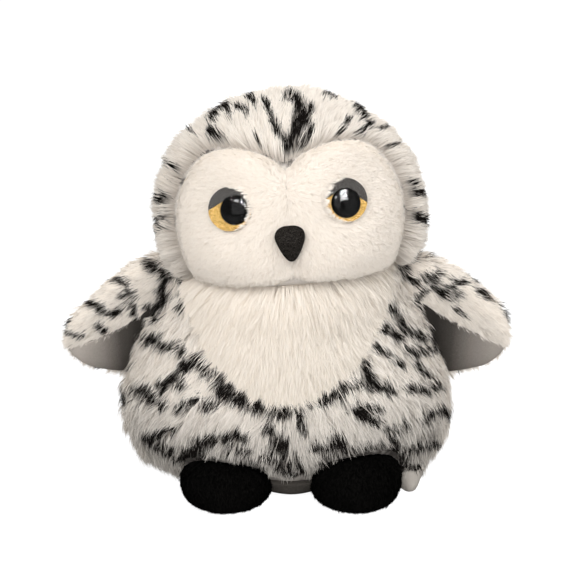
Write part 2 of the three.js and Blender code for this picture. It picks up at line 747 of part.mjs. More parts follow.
// Tail: a flat flap behind the base, fur above and below, hinged at its root
function makeTail() {
  const droop = degrees(tailDroopDegrees);
  const along = new THREE.Vector3(0, Math.cos(droop), -Math.sin(droop));
  const across = new THREE.Vector3(1, 0, 0);
  const under = along.clone().cross(across);
  const skin = sectionAt(bodyForm, bodyFacets, 0, tailRootHeight).halfDepth + seamGap;
  const hinge = new THREE.Vector3(0, skin, tailRootHeight);
  const frame = new THREE.Group();
  frame.quaternion.setFromRotationMatrix(new THREE.Matrix4().makeBasis(across, under, along));
  frame.position.copy(hinge).addScaledVector(along, -tailRootInset);
  frame.updateMatrix();
  const room = sweptKeepOut(
    bodyKeepOut, hinge, new THREE.Vector3(1, 0, 0), 0, tailLiftDegrees, frame.matrix,
  );
  const flap = plump(tailForm, limbFacets).subtract(room);
  frame.add(
    piece('tail_top', flap.intersect(below('y', -seamGap / 2)), white),
    piece('tail_underside', flap.intersect(above('y', seamGap / 2)), white),
  );
  owl.add(frame);
}

makeBody();
makeHead();
makeBeak();
makeEye(-1, 'left');
makeEye(1, 'right');
makeWing(-1, 'left');
makeWing(1, 'right');
makeFoot(-1, 'left');
makeFoot(1, 'right');
makeTail();

export default owl;
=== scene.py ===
import math

import bmesh
import bpy
import numpy as np
from mathutils import Matrix, Vector, noise
from mathutils.kdtree import KDTree


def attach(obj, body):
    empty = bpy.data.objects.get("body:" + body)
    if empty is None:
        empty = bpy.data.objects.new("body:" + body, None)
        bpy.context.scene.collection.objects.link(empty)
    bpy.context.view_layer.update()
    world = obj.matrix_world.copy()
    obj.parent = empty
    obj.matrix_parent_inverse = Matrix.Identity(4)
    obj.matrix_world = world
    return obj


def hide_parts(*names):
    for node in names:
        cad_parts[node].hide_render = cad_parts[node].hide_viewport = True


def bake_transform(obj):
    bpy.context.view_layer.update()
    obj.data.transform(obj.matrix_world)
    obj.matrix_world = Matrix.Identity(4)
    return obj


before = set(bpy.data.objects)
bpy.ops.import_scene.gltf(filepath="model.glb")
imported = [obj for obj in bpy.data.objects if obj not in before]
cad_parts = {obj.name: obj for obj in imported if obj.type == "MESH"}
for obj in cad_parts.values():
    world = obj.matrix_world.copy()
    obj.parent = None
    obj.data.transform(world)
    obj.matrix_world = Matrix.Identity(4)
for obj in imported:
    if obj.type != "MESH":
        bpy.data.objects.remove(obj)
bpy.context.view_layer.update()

# The studio: a pale seamless floor, an even sky, three large soft lamps, and two small ones that
# only the eyes mirror. The camera looks down at the owl at the angle that the photograph has.
PHOTO_SIDE = 576
CAMERA_AIM = Vector((0.0011, 0.0297, 0.0913))
CAMERA_AWAY = 0.85
CAMERA_HEIGHT_ANGLE = math.radians(18)
SENSOR_WIDTH = 36.0
FOCAL_LENGTH = 94.9
FLOOR_HALF = 6.0
SKY_COLOUR = (1.0, 0.985, 0.965)
SKY_STRENGTH = 0.485
SOFT_PLACE = Vector((-0.22, -0.85, 0.6))
SOFT_SIDE = 0.8
SOFT_POWER = 6.5
FILL_PLACE = Vector((0.6, -0.65, 0.55))
FILL_SIDE = 0.8
FILL_POWER = 3.3
BACK_PLACE = Vector((0.15, 0.9, 1.0))
BACK_SIDE = 0.9
BACK_POWER = 9.0
LEFT_GLINT_PLACE = Vector((-0.368, -0.681, 0.868))
LEFT_GLINT_SIDE = 0.2
LEFT_GLINT_POWER = 13.0
RIGHT_GLINT_PLACE = Vector((0.289, -0.804, 0.78))
RIGHT_GLINT_SIDE = 0.36
RIGHT_GLINT_POWER = 105.0
CLIP_START = 0.01
PAPER_COLOUR = (0.12, 0.12, 0.12)
PAPER_GLOW = 0.95


class Wire:
    """A shader socket that carries a number, so that sums are written as sums."""

    def __init__(self, socket):
        self.socket = socket

    def maths(self, operation, first, second):
        tree = self.socket.id_data
        node = tree.nodes.new("ShaderNodeMath")
        node.operation = operation
        for socket, value in zip(node.inputs, (first, second)):
            if isinstance(value, Wire):
                tree.links.new(value.socket, socket)
            else:
                socket.default_value = value
        return Wire(node.outputs[0])

    def __add__(self, other):
        return self.maths("ADD", self, other)

    def __sub__(self, other):
        return self.maths("SUBTRACT", self, other)

    def __rsub__(self, other):
        return self.maths("SUBTRACT", other, self)

    def __mul__(self, other):
        return self.maths("MULTIPLY", self, other)

    __radd__ = __add__
    __rmul__ = __mul__


class Finish:
    """A material with one Principled shader, made of plain values and wires."""

    def __init__(self, name, **plain):
        self.material = bpy.data.materials.new(name)
        self.material.use_nodes = True
        self.tree = self.material.node_tree
        self.shader = self.tree.nodes["Principled BSDF"]
        for socket, value in plain.items():
            self.set(socket.replace("_", " "), value)

    def set(self, socket, value):
        place = self.shader.inputs[socket]
        if isinstance(value, Wire):
            self.tree.links.new(value.socket, place)
        else:
            place.default_value = (*value, 1.0) if isinstance(value, tuple) else value

    def node(self, kind, settings=(), values=(), output=0):
        """A node with its settings made first and then its sockets, and one of its outputs."""
        node = self.tree.nodes.new(kind)
        for name, value in dict(settings).items():
            setattr(node, name, value)
        for socket, value in dict(values).items():
            if isinstance(value, Wire):
                self.tree.links.new(value.socket, node.inputs[socket])
            else:
                node.inputs[socket].default_value = value
        return Wire(node.outputs[output])

    def ramp(self, factor, stops):
        """A number that follows a ramp of (place, height) stops."""
        wire = self.node("ShaderNodeValToRGB", values={0: factor})
        ramp = wire.socket.node.color_ramp
        for place, height in stops[2:]:
            ramp.elements.new(place)
        for element, (place, height) in zip(ramp.elements, stops):
            element.position = place
            element.color = (height, height, height, 1.0)
        return wire

    def blend(self, first, second, mask):
        """One colour turning into another where the mask is 1."""
        pair = [(*c, 1.0) if isinstance(c, tuple) else c for c in (first, second)]
        return self.node("ShaderNodeMix", {"data_type": "RGBA"}, {0: mask, 6: pair[0], 7: pair[1]}, 2)

    def scaled(self, colour, scale):
        """A colour made lighter or darker by a number."""
        return self.node("ShaderNodeVectorMath", {"operation": "SCALE"}, {0: colour, "Scale": scale})

    def speckle(self, scale, detail=2.0, roughness=0.5):
        """Cloudy noise on the piece's own coordinates, from 0 to 1, with scale in cells a metre."""
        place = self.node("ShaderNodeTexCoord", output=3)
        values = {"Vector": place, "Scale": scale, "Detail": detail, "Roughness": roughness}
        return self.node("ShaderNodeTexNoise", values=values)

    def across(self):
        """The piece's own coordinate from left to right."""
        place = self.node("ShaderNodeTexCoord", output=3)
        return self.node("ShaderNodeSeparateXYZ", values={0: place})

    def channels(self, attribute):
        """The three numbers that an attribute of the mesh carries."""
        carried = self.node("ShaderNodeAttribute", {"attribute_name": attribute})
        split = self.node("ShaderNodeSeparateColor", values={0: carried}).socket.node.outputs
        return [Wire(split[k]) for k in range(3)]

    def bump(self, height, distance, strength=1.0):
        values = {"Strength": strength, "Distance": distance, "Height": height}
        self.set("Normal", self.node("ShaderNodeBump", values=values))


def aimed(made, place, aim):
    made.location = place
    made.rotation_euler = (aim - place).to_track_quat("-Z", "Y").to_euler()
    bpy.context.scene.collection.objects.link(made)
    return made


def square_lamp(name, place, side, power, mirrored=False):
    """A lamp that either lights the owl or, mirrored, only shows as a glint in its eyes."""
    lamp = bpy.data.lights.new(name, "AREA")
    lamp.shape = "SQUARE"
    lamp.size = side
    lamp.energy = power
    lamp = aimed(bpy.data.objects.new(name, lamp), place, CAMERA_AIM)
    lamp.visible_diffuse, lamp.visible_glossy = not mirrored, mirrored


camera_data = bpy.data.cameras.new("photo_camera")
camera_data.sensor_width = SENSOR_WIDTH
camera_data.lens = FOCAL_LENGTH
camera_data.clip_start = CLIP_START
view_way = Vector((0, math.cos(CAMERA_HEIGHT_ANGLE), -math.sin(CAMERA_HEIGHT_ANGLE)))
camera_place = CAMERA_AIM - CAMERA_AWAY * view_way
camera = aimed(bpy.data.objects.new("photo_camera", camera_data), camera_place, CAMERA_AIM)
bpy.context.scene.camera = camera
bpy.context.scene.view_settings.view_transform = "Standard"

square_lamp("soft_lamp", SOFT_PLACE, SOFT_SIDE, SOFT_POWER)
square_lamp("fill_lamp", FILL_PLACE, FILL_SIDE, FILL_POWER)
square_lamp("back_lamp", BACK_PLACE, BACK_SIDE, BACK_POWER)
square_lamp("left_glint", LEFT_GLINT_PLACE, LEFT_GLINT_SIDE, LEFT_GLINT_POWER, mirrored=True)
square_lamp("right_glint", RIGHT_GLINT_PLACE, RIGHT_GLINT_SIDE, RIGHT_GLINT_POWER, mirrored=True)
sky = bpy.data.worlds.new("studio_sky")
sky.use_nodes = True
sky_light = sky.node_tree.nodes["Background"]
sky_light.inputs["Color"].default_value = (*SKY_COLOUR, 1.0)
sky_light.inputs["Strength"].default_value = SKY_STRENGTH
bpy.context.scene.world = sky

floor_form = bmesh.new()
bmesh.ops.create_grid(floor_form, x_segments=1, y_segments=1, size=FLOOR_HALF)
floor_mesh = bpy.data.meshes.new("studio_floor")
floor_form.to_mesh(floor_mesh)
floor_form.free()
studio_floor = bpy.data.objects.new("studio_floor", floor_mesh)
bpy.context.scene.collection.objects.link(studio_floor)
paper = Finish("studio_paper", Base_Color=PAPER_COLOUR, Roughness=0.9)
seen_by = paper.node("ShaderNodeLightPath").socket.node.outputs
direct, glossy, through = (Wire(seen_by[f"Is {way} Ray"]) for way in ("Camera", "Glossy", "Transmission"))
looked_at = direct + glossy + through
paper.set("Emission Color", paper.scaled((1.0, 1.0, 1.0), looked_at.maths("MINIMUM", looked_at, 1.0)))
paper.set("Emission Strength", PAPER_GLOW)
floor_mesh.materials.append(paper.material)

# The body: a stuffed pear of backing cloth with a bag of pellets in its seat. Its outline is the
# sewn cover's, drawn in by the pile, and the bottom is flat where it sits.
BODY_HALF_WIDTH = 0.0905
BODY_HALF_DEPTH = 0.073
NECK_HEIGHT = 0.12
BODY_PILE_DEPTH = 0.0062
BELLY_TUCK_HEIGHT = 0.042
BELLY_TUCK_SHARE = 0.74
BASE_SEAM_HEIGHT = 0.011
SEAT_SINK = 0.0005
FINE_RINGS = 161
LINE_STEPS = 40
MERGE_REACH = 1e-7
# Where the filling bulges the cover: the middle, the spread and the push of each bulge
BULGES = [
    (Vector((0.09, -0.012, 0.012)), 0.024, Vector((0.002, 0, 0))),
    (Vector((0.003, -0.036, 0.004)), 0.015, Vector((0, -0.0085, 0))),
    (Vector((0.066, -0.028, 0.009)), 0.009, Vector((0.001, -0.014, -0.008))),
]
# and the fuller chest under the chin
CHEST_PLACE = Vector((0, 0, 0.113))
CHEST_SPREAD = (0.05, 0.017)
CHEST_PUSH = 0.0045
BODY_OUTLINE_SHARES = [
    (0, 0), (0.4, 0.0008), (0.68, 0.004), (0.86, 0.045), (0.955, 0.135), (0.998, 0.255), (1, 0.36),
    (0.965, 0.48), (0.9, 0.61), (0.815, 0.75), (0.735, 0.88), (0.68, 0.99), (0.62, 1.07), (0.4, 1.13),
    (0, 1.15),
]
BODY_CUT = (BODY_OUTLINE_SHARES, BODY_HALF_WIDTH, BODY_HALF_DEPTH, NECK_HEIGHT)


def smooth_line(points, count):
    """Places spaced evenly along the smooth line through these points."""
    points = np.array(points, float)
    last = len(points) - 1
    at = np.linspace(0, last, LINE_STEPS * last + 1)
    span = np.minimum(at.astype(int), last - 1)
    w = (at - span)[:, None]
    before, start, end, after = (points[np.clip(span + k, 0, last)] for k in (-1, 0, 1, 2))
    bend = 2 * before - 5 * start + 4 * end - after + w * (3 * start - before - 3 * end + after)
    line = start + 0.5 * w * (end - before + w * bend)
    run = np.concatenate([[0], np.cumsum(np.linalg.norm(np.diff(line, axis=0), axis=1))])
    even = np.linspace(0, run[-1], count)
    return np.stack([np.interp(even, run, column) for column in line.T], axis=1)


def outline_rings(outline_shares, half_width, half_depth, height, inset, count):
    """Half width, half depth and height of the rings of a stuffed form, drawn in by an inset."""
    line = smooth_line([(r * half_width, h * height) for r, h in outline_shares], count)
    slope = np.gradient(line, axis=0)
    slope /= np.linalg.norm(slope, axis=1, keepdims=True)
    outward = np.stack([slope[:, 1], -slope[:, 0]], axis=1)
    outward[0], outward[-1] = (0, -1), (0, 1)
    wide = np.maximum(line[:, 0] - inset * outward[:, 0], 0)
    deep = np.maximum(line[:, 0] * half_depth / half_width - inset * outward[:, 0], 0)
    wide[[0, -1]] = deep[[0, -1]] = 0
    return wide, deep, line[:, 1] - inset * outward[:, 1]


def in_order(form):
    """The same form with its corners and faces sorted by place, so that fur grows on it alike every time."""
    corners = sorted(form.verts, key=lambda vert: tuple(vert.co))
    rank = {vert: k for k, vert in enumerate(corners)}
    rounds = []
    for face in form.faces:
        ring = [rank[vert] for vert in face.verts]
        first = ring.index(min(ring))
        rounds.append(ring[first:] + ring[:first])
    ordered = bmesh.new()
    corners = [ordered.verts.new(vert.co) for vert in corners]
    for ring in sorted(rounds):
        ordered.faces.new([corners[k] for k in ring])
    form.free()
    return ordered


def spun(corners, steps):
    """A closed round form about +Z, from its half outline as radii and heights."""
    form = bmesh.new()
    line = [form.verts.new((r, 0, z)) for r, z in corners]
    for start, end in zip(line, line[1:]):
        form.edges.new((start, end))
    bmesh.ops.spin(
        form, geom=form.verts[:] + form.edges[:], cent=(0, 0, 0), axis=(0, 0, 1), dvec=(0, 0, 0),
        angle=2 * math.pi, steps=steps, use_merge=True,
    )
    bmesh.ops.remove_doubles(form, verts=form.verts, dist=MERGE_REACH)
    bmesh.ops.recalc_face_normals(form, faces=form.faces)
    return in_order(form)


def stuffed_form(outline_shares, half_width, half_depth, height, inset, rings=90, sides=180):
    """A closed form about +Z: the outline spun round, then narrowed from front to back."""
    wide, deep, up = outline_rings(outline_shares, half_width, half_depth, height, inset, rings + 1)
    form = spun(zip(wide, up), sides)
    full = wide > 1e-6
    ratio = deep[full] / wide[full]
    for vert in form.verts:
        vert.co.y *= np.interp(vert.co.z, up[full], ratio)
    return form


def belly_tuck(z):
    """How far the belly's front is drawn back at a height, over the feet."""
    rise = np.clip(z / BELLY_TUCK_HEIGHT, 0, 1)
    return BELLY_TUCK_SHARE + (1 - BELLY_TUCK_SHARE) * (1 - np.cos(np.pi * rise)) / 2


def settled(form):
    """The body's own shape: tucked over the feet, flat underneath, with its bulges and a full chest."""
    for vert in form.verts:
        if vert.co.y < 0:
            vert.co.y *= float(belly_tuck(vert.co.z))
        vert.co.z = max(vert.co.z - SEAT_SINK, 0.0)
        for place, spread, push in BULGES:
            vert.co += push * math.exp(-((vert.co - place).length / spread) ** 2)
        vert.co.z = max(vert.co.z, 0.0)
        across, up = (vert.co - CHEST_PLACE).xz
        if vert.co.y < 0:
            vert.co.y -= CHEST_PUSH * math.exp(-(across / CHEST_SPREAD[0]) ** 2 - (up / CHEST_SPREAD[1]) ** 2)
    return form


def piece_from(form, name, finish, body, slot, *nodes):
    """A finished bmesh as a smooth piece that rides on a body and stands for its solids."""
    mesh = bpy.data.meshes.new(name)
    form.to_mesh(mesh)
    form.free()
    mesh.shade_smooth()
    return in_place(bpy.data.objects.new(name, mesh), finish, body, slot, *nodes)


def in_place(piece, finish, body, slot, *nodes):
    """Gives a piece its finish, the body that it rides on and the nodes that it stands for; the slot is not
    used.
    """
    piece.data.materials.append(finish.material)
    bpy.context.scene.collection.objects.link(piece)
    if body:
        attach(piece, body)
    if nodes:
        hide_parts(*nodes)
    return piece


backing_cloth = Finish("backing_cloth", Roughness=0.95, Specular_IOR_Level=0.0)
weave = backing_cloth.speckle(1800, detail=3)
knit = backing_cloth.blend((0.55, 0.5, 0.45), (0.78, 0.73, 0.68), weave)
# The cloth darkens under the pile's print, and under its painted shade on the belly
soaked_dye_and_shade = backing_cloth.channels("pile")[0] * 0.8
backing_cloth.set("Base Color", backing_cloth.blend(knit, (0.05, 0.044, 0.04), soaked_dye_and_shade))
backing_cloth.bump(weave, 0.0004)

body_pad = piece_from(
    settled(stuffed_form(*BODY_CUT, BODY_PILE_DEPTH)), "body_pad", backing_cloth, "torso", "mottled_fur",
    "body_stuffing", "pellet_bag",
)

# The base: a smooth brushed cloth panel under the body, sewn in along a seam above the floor. It
# shows between the feet, painted dark there as shade, and in a pale fold beside the right foot in its own
# colour, and is tucked under the fur elsewhere.
BASE_CLOTH_INSET = 0.0006
BASE_CLOTH_TUCK = 0.0048
BASE_SHOWN_HALF_WIDTH = 0.06
BASE_SHOWN_BACK = -0.02
FOLD_PLACE = 0.059


def cut_off(form, place, way):
    """Cuts away what lies beyond a plane through a place, on the side that the way points to."""
    geometry = form.verts[:] + form.edges[:] + form.faces[:]
    bmesh.ops.bisect_plane(form, geom=geometry, plane_co=place, plane_no=way, clear_outer=True)


base_cloth = Finish("base_cloth", Roughness=0.9, Specular_IOR_Level=0.0)
nap = base_cloth.speckle(900, detail=4, roughness=0.65)
folded = base_cloth.ramp((base_cloth.across() - FOLD_PLACE) * 100, [(0.0, 0.0), (0.3, 1.0)])
# Painted shade: between the feet the cloth is painted nearly black as the shade there; the fold keeps the
# cloth's own pale colour
shaded = base_cloth.blend((0.04, 0.036, 0.031), (0.1, 0.09, 0.08), nap)
base_cloth.set("Base Color", base_cloth.blend(shaded, (0.46, 0.425, 0.385), folded))
base_cloth.bump(nap, 0.0003)
base_form = settled(stuffed_form(*BODY_CUT, BASE_CLOTH_INSET))
cut_off(base_form, (0, 0, BASE_SEAM_HEIGHT), (0, 0, 1))
bmesh.ops.holes_fill(base_form, edges=base_form.edges, sides=0)
for vert in base_form.verts:
    x, y = vert.co.xy
    in_fold = x >= FOLD_PLACE and y <= BASE_SHOWN_BACK
    hidden = 0.0 if in_fold else max(abs(x) - BASE_SHOWN_HALF_WIDTH, y - BASE_SHOWN_BACK, 0.0)
    vert.co -= min(hidden, BASE_CLOTH_TUCK) * Vector((x, y, 0)).normalized()
piece_from(base_form, "seat_cloth", base_cloth, "torso", "base_cloth", "base_panel")

# The body's fur: long printed pile on a knitted back, cut as two front and two back panels. It is
# combed down and outwards, lies in tufts, and carries black patches on white.
SIDES = ((-1, "left"), (1, "right"))
BIB_HALF_WIDTH = 0.05
BIB_DROP = 0.058
SIDE_SEAM_BACK = 0.01
PARTING = 0.0006
BIB_LAP = (-0.0015, 0.006)
BIB_EDGE_SHARES = [(1, 0), (0.97, 0.2), (0.87, 0.45), (0.68, 0.72), (0.38, 0.94), (0, 1)]
FOOT_SPACING = 0.0676
FOOT_SHIFT = 0.0027
SIDE_HEM = 0.0035
FRONT_HEM = 0.023
FOOT_HEMS = {-1: 0.0285, 1: 0.0345}
FOOT_HEM_SPREAD = 0.022
FOLD_HEM_RISE = 0.01
FOLD_HEM_SHIFT = 0.008
FOLD_HEM_SPREAD = 0.007
HEM_CLIP = 0.2
HEM_CLIP_DEPTH = 0.02
# Painted shade: how much darker the belly's fur is made low down, and at the hem where it meets the feet
PAINTED_LOW_SHADE = 0.42
PAINTED_HEM_SHADE = 0.85
PAINTED_HEM_SHADE_DEPTH = 0.006
FLANK_COMB = 0.75
FLANK_COMB_SPREAD = 0.035
NECK_LAP = 0.004
NECK_TILT = 0.08
# The feet's sizes, which the hem over them follows
FOOT_HALF_WIDTH = 0.0255
FOOT_HALF_LENGTH = 0.027
FOOT_HEIGHTS = {-1: 0.03, 1: 0.034}
FOOT_AHEAD = 0.0007
FOOT_CLEARANCE = 0.0004
BODY_STRANDS = 36500
BACK_STRANDS = 24500
LEAST_HEIGHT = 0.0003
PRINT_SHAKE_PX = 1.2
PRINT_RAG_CELLS = (210, 210, 210)
PRINT_RAG = 0.55
PRINT_GRAIN = 0.16
BODY_PILE = {
    "length": 0.0125, "thick": 0.00042, "lift": 0.95, "tuft": 24, "spread": 0.28, "pull": 0.22, "stray": 0.0008,
    "droop": 0.25,
}
# Black patches on the body's front, each as its width and its line, in the photograph's pixels
BODY_PATCHES_PX = [
    (11, [(144, 342), (153, 340), (160, 347)]), (10, [(165, 347), (174, 349), (181, 357)]),
    (9, [(182, 366), (192, 363), (200, 370)]), (9, [(200, 373), (212, 376), (222, 381)]),
    (10, [(186, 369), (176, 376), (165, 384), (160, 392)]), (10, [(158, 386), (170, 381), (180, 388)]),
    (12, [(133, 393), (142, 390), (150, 397), (140, 404)]), (10, [(148, 402), (163, 408)]),
    (8, [(121, 395), (124, 406)]), (10, [(176, 413), (184, 406), (192, 402), (203, 409), (212, 408)]),
    (8, [(176, 309), (188, 315)]), (10, [(143, 440), (155, 436), (166, 432), (174, 433)]),
    (13, [(150, 444), (158, 450), (170, 453)]), (16, [(186, 453), (196, 449), (205, 445), (216, 442)]),
    (13, [(226, 441), (236, 437), (244, 440)]), (15, [(268, 432), (274, 441), (284, 445)]),
    (12, [(272, 448), (284, 452)]), (10, [(262, 457), (275, 462), (288, 470)]),
    (8, [(278, 470), (296, 476)]), (8, [(176, 461), (200, 458)]), (8, [(228, 452), (250, 453)]),
    (19, [(218, 391), (232, 398), (248, 405), (264, 411), (282, 412), (298, 411)]),
    (15, [(312, 404), (326, 402), (340, 397)]), (11, [(340, 396), (352, 389), (362, 386)]),
    (13, [(364, 384), (378, 388), (392, 392)]), (7, [(296, 413), (300, 425), (304, 436)]),
    (12, [(354, 411), (362, 418)]), (10, [(366, 419), (378, 423)]),
    (9, [(360, 410), (374, 412), (384, 411)]), (10, [(388, 431), (398, 434), (408, 429)]),
    (7, [(393, 441), (399, 446)]), (10, [(411, 390), (425, 393), (440, 388)]),
    (8, [(424, 424), (433, 416), (444, 411), (451, 420)]), (10, [(392, 452), (404, 458)]),
    (10, [(410, 452), (424, 449), (438, 446)]), (9, [(402, 466), (420, 470)]),
    (8, [(333, 440), (346, 443)]), (8, [(281, 437), (284, 456), (282, 473)]), (7, [(297, 460), (304, 476)]),
    (9, [(312, 451), (328, 449), (344, 447)]), (5, [(127, 363), (128, 370)]),
    (11, [(380, 312), (390, 307), (398, 316), (402, 325)]),
    (11, [(388, 332), (398, 338), (408, 333), (424, 337)]), (8, [(434, 341), (441, 350)]),
    (8, [(407, 352), (420, 355), (434, 350)]), (8, [(378, 350), (389, 356)]), (7, [(396, 362), (406, 367)]),
    (8, [(417, 366), (430, 377)]), (12, [(364, 358), (369, 372), (374, 384)]),
]
# The same on the wings, and on the shoulders beside them
WING_PATCHES_PX = [
    (9, [(112, 277), (122, 285), (130, 294)]), (9, [(121, 296), (130, 306), (134, 316)]),
    (10, [(83, 301), (96, 308), (108, 316), (118, 312)]), (9, [(99, 326), (105, 333)]),
    (6, [(63, 332), (82, 337)]), (13, [(74, 354), (90, 362)]), (8, [(480, 291), (493, 299)]),
    (5, [(458, 309), (466, 318)]), (11, [(443, 294), (455, 286), (464, 281)]),
    (8, [(450, 300), (462, 294)]),
]
SHOULDER_PATCHES_PX = [
    (13, [(145, 263), (156, 270), (168, 277)]), (12, [(166, 276), (160, 290), (163, 300), (158, 309)]),
    (12, [(178, 278), (188, 288), (182, 298)]), (10, [(146, 308), (152, 320)]),
    (12, [(403, 268), (410, 262), (416, 259)]), (9, [(405, 277), (418, 284), (430, 278), (441, 272)]),
    (9, [(420, 297), (430, 290), (436, 284)]),
]


def numbers(items, name, width, kind=np.float32):
    """One value of every vertex or face of a mesh, as rows of a table."""
    found = np.empty(len(items) * width, kind)
    items.foreach_get(name, found)
    return found.reshape(-1, width)


def unit(vectors):
    return vectors / np.maximum(np.linalg.norm(vectors, axis=-1, keepdims=True), 1e-12)


def eased(value, low, high):
    """0 below low, 1 above high and a smooth step between them."""
    share = np.clip((value - low) / (high - low), 0, 1)
    return share * share * (3 - 2 * share)


def on_photo(places):
    """Where places show in the photograph, in its pixels."""
    turn = np.array(camera.rotation_euler.to_matrix(), float)
    across, up, back = ((places - np.array(camera_place)) @ turn).T
    pixels = PHOTO_SIDE * FOCAL_LENGTH / SENSOR_WIDTH
    return np.stack([PHOTO_SIDE / 2 - pixels * across / back, PHOTO_SIDE / 2 + pixels * up / back], axis=1)


def patch_cover(spots, patches):
    """How deep each spot of the photograph lies in a patch: 1 on its line, 0 at its edge."""
    deepest = np.full(len(spots), -9.0)
    for width, line in patches:
        for start, end in zip(np.array(line, float), np.array(line[1:], float)):
            along = end - start
            share = np.clip((spots - start) @ along / max(along @ along, 1e-9), 0, 1)
            off = np.linalg.norm(spots - start - share[:, None] * along, axis=1)
            deepest = np.maximum(deepest, 1 - off / (width / 2))
    return deepest


def cloud(places, cells, offset):
    """Smooth noise from about -1 to 1 at these places, with cells a metre along each axis."""
    at = places * np.array(cells) + offset
    return np.array([noise.noise(Vector(p)) for p in at])


def mottle(patches, unseen_cells, unseen_share, reach=0.17):
    """Dyes places black by the patches where the photograph sees them, and by like blotches elsewhere."""
    def dye_and_shade(places, outs, draw):
        shake = draw.normal(0, PRINT_SHAKE_PX, (len(outs), 2))
        ragged = PRINT_RAG * cloud(places, PRINT_RAG_CELLS, 7.3) + draw.normal(0, PRINT_GRAIN, len(outs))
        seen = eased(-(outs @ np.array(view_way)), 0.02, 0.22)
        blot = cloud(places, unseen_cells, 3.1) + 0.45 * cloud(places, np.array(unseen_cells) * 2.3, 11.7)
        blot = (blot - unseen_share) * 5
        drawn = patch_cover(on_photo(places) + shake, patches)
        return eased(seen * drawn + (1 - seen) * blot + ragged, -reach, 0.6 - reach)
    return dye_and_shade


def no_dye(places, outs, draw):
    return np.zeros(len(outs))


def dye_cloth(pad, dye_and_shade, seed):
    """Lets the pile's print, and its painted shade on the belly, soak into the cloth under it."""
    places = numbers(pad.data.vertices, "co", 3).astype(float)
    outs = numbers(pad.data.vertices, "normal", 3).astype(float)
    tint = np.ones((len(places), 4), np.float32)
    tint[:, 0] = dye_and_shade(places, outs, np.random.default_rng(seed))
    pad.data.attributes.new("pile", "FLOAT_COLOR", "POINT").data.foreach_set("color", tint.ravel())


def roots_on(pad, count, covers, draw):
    """Places spread evenly over the part of a form that a panel covers, and the way out at each."""
    mesh = pad.data
    mesh.calc_loop_triangles()
    triangles = numbers(mesh.loop_triangles, "vertices", 3, np.int32)
    places = numbers(mesh.vertices, "co", 3).astype(float)
    ways = numbers(mesh.vertices, "normal", 3).astype(float)
    first, second = (places[triangles[:, k]] - places[triangles[:, 0]] for k in (1, 2))
    area = np.linalg.norm(np.cross(first, second), axis=1)
    area *= covers(places[triangles].reshape(-1, 3)).reshape(-1, 3).any(1)
    roots, outs = np.empty((0, 3)), np.empty((0, 3))
    for attempt in range(4):
        pick = draw.choice(len(triangles), 2 * count, p=area / area.sum())
        weight = draw.dirichlet((1, 1, 1), 2 * count)[:, :, None]
        found = (places[triangles[pick]] * weight).sum(1)
        inside = covers(found)
        roots = np.concatenate([roots, found[inside]])
        outs = np.concatenate([outs, unit((ways[triangles[pick]] * weight).sum(1))[inside]])
        if len(roots) >= count:
            break
    return roots[:count], outs[:count]


def strand_lines(roots, outs, flow, length, lift, droop, joints):
    """Each strand's line: it rises from the cloth, bends over along the comb and sags a little."""
    lines = [roots]
    for k in range(1, joints + 1):
        run = (k - 0.5) / joints
        angle = (lift * (1 - run) ** 1.2)[:, None]
        way = flow * np.cos(angle) + outs * np.sin(angle)
        way[:, 2] -= droop * run
        lines.append(lines[-1] + unit(way) * (length / joints)[:, None])
    return np.array(lines)


def tufts_of(roots, size, draw):
    """The strands that lead the tufts, and the tuft that each strand belongs to."""
    guides = draw.choice(len(roots), max(len(roots) // size, 1), replace=False)
    tree = KDTree(len(guides))
    for i, guide in enumerate(guides):
        tree.insert(roots[guide], i)
    tree.balance()
    return guides, np.array([tree.find(place)[1] for place in roots])


def strand_strips(lines, outs, thick, draw):
    """The corners of every strand's tapered strip, and the way that each corner faces."""
    joints, count = len(lines) - 1, len(outs)
    along = unit(np.diff(lines, axis=0))
    twist = draw.uniform(-0.9, 0.9, count)[:, None]
    side = unit(np.cross(along, outs))
    side = side * np.cos(twist) + np.cross(along, side) * np.sin(twist)
    fuller = np.interp(np.arange(joints) / joints, (0, 0.4, 1), (0.75, 1, 0.55))
    half = 0.5 * thick * draw.uniform(0.75, 1.25, count)[:, None] * fuller[:, None, None]
    left, right = lines[:-1] - side * half, lines[:-1] + side * half
    facing = unit(0.6 * outs + 0.4 * np.cross(side, along))
    places, ways = np.empty((2, count, 2 * joints + 1, 3))
    places[:, 0:-1:2], places[:, 1:-1:2] = left.transpose(1, 0, 2), right.transpose(1, 0, 2)
    places[:, -1] = lines[-1]
    ways[:, 0:-1:2] = ways[:, 1:-1:2] = facing.transpose(1, 0, 2)
    ways[:, -1] = facing[-1]
    return places, ways


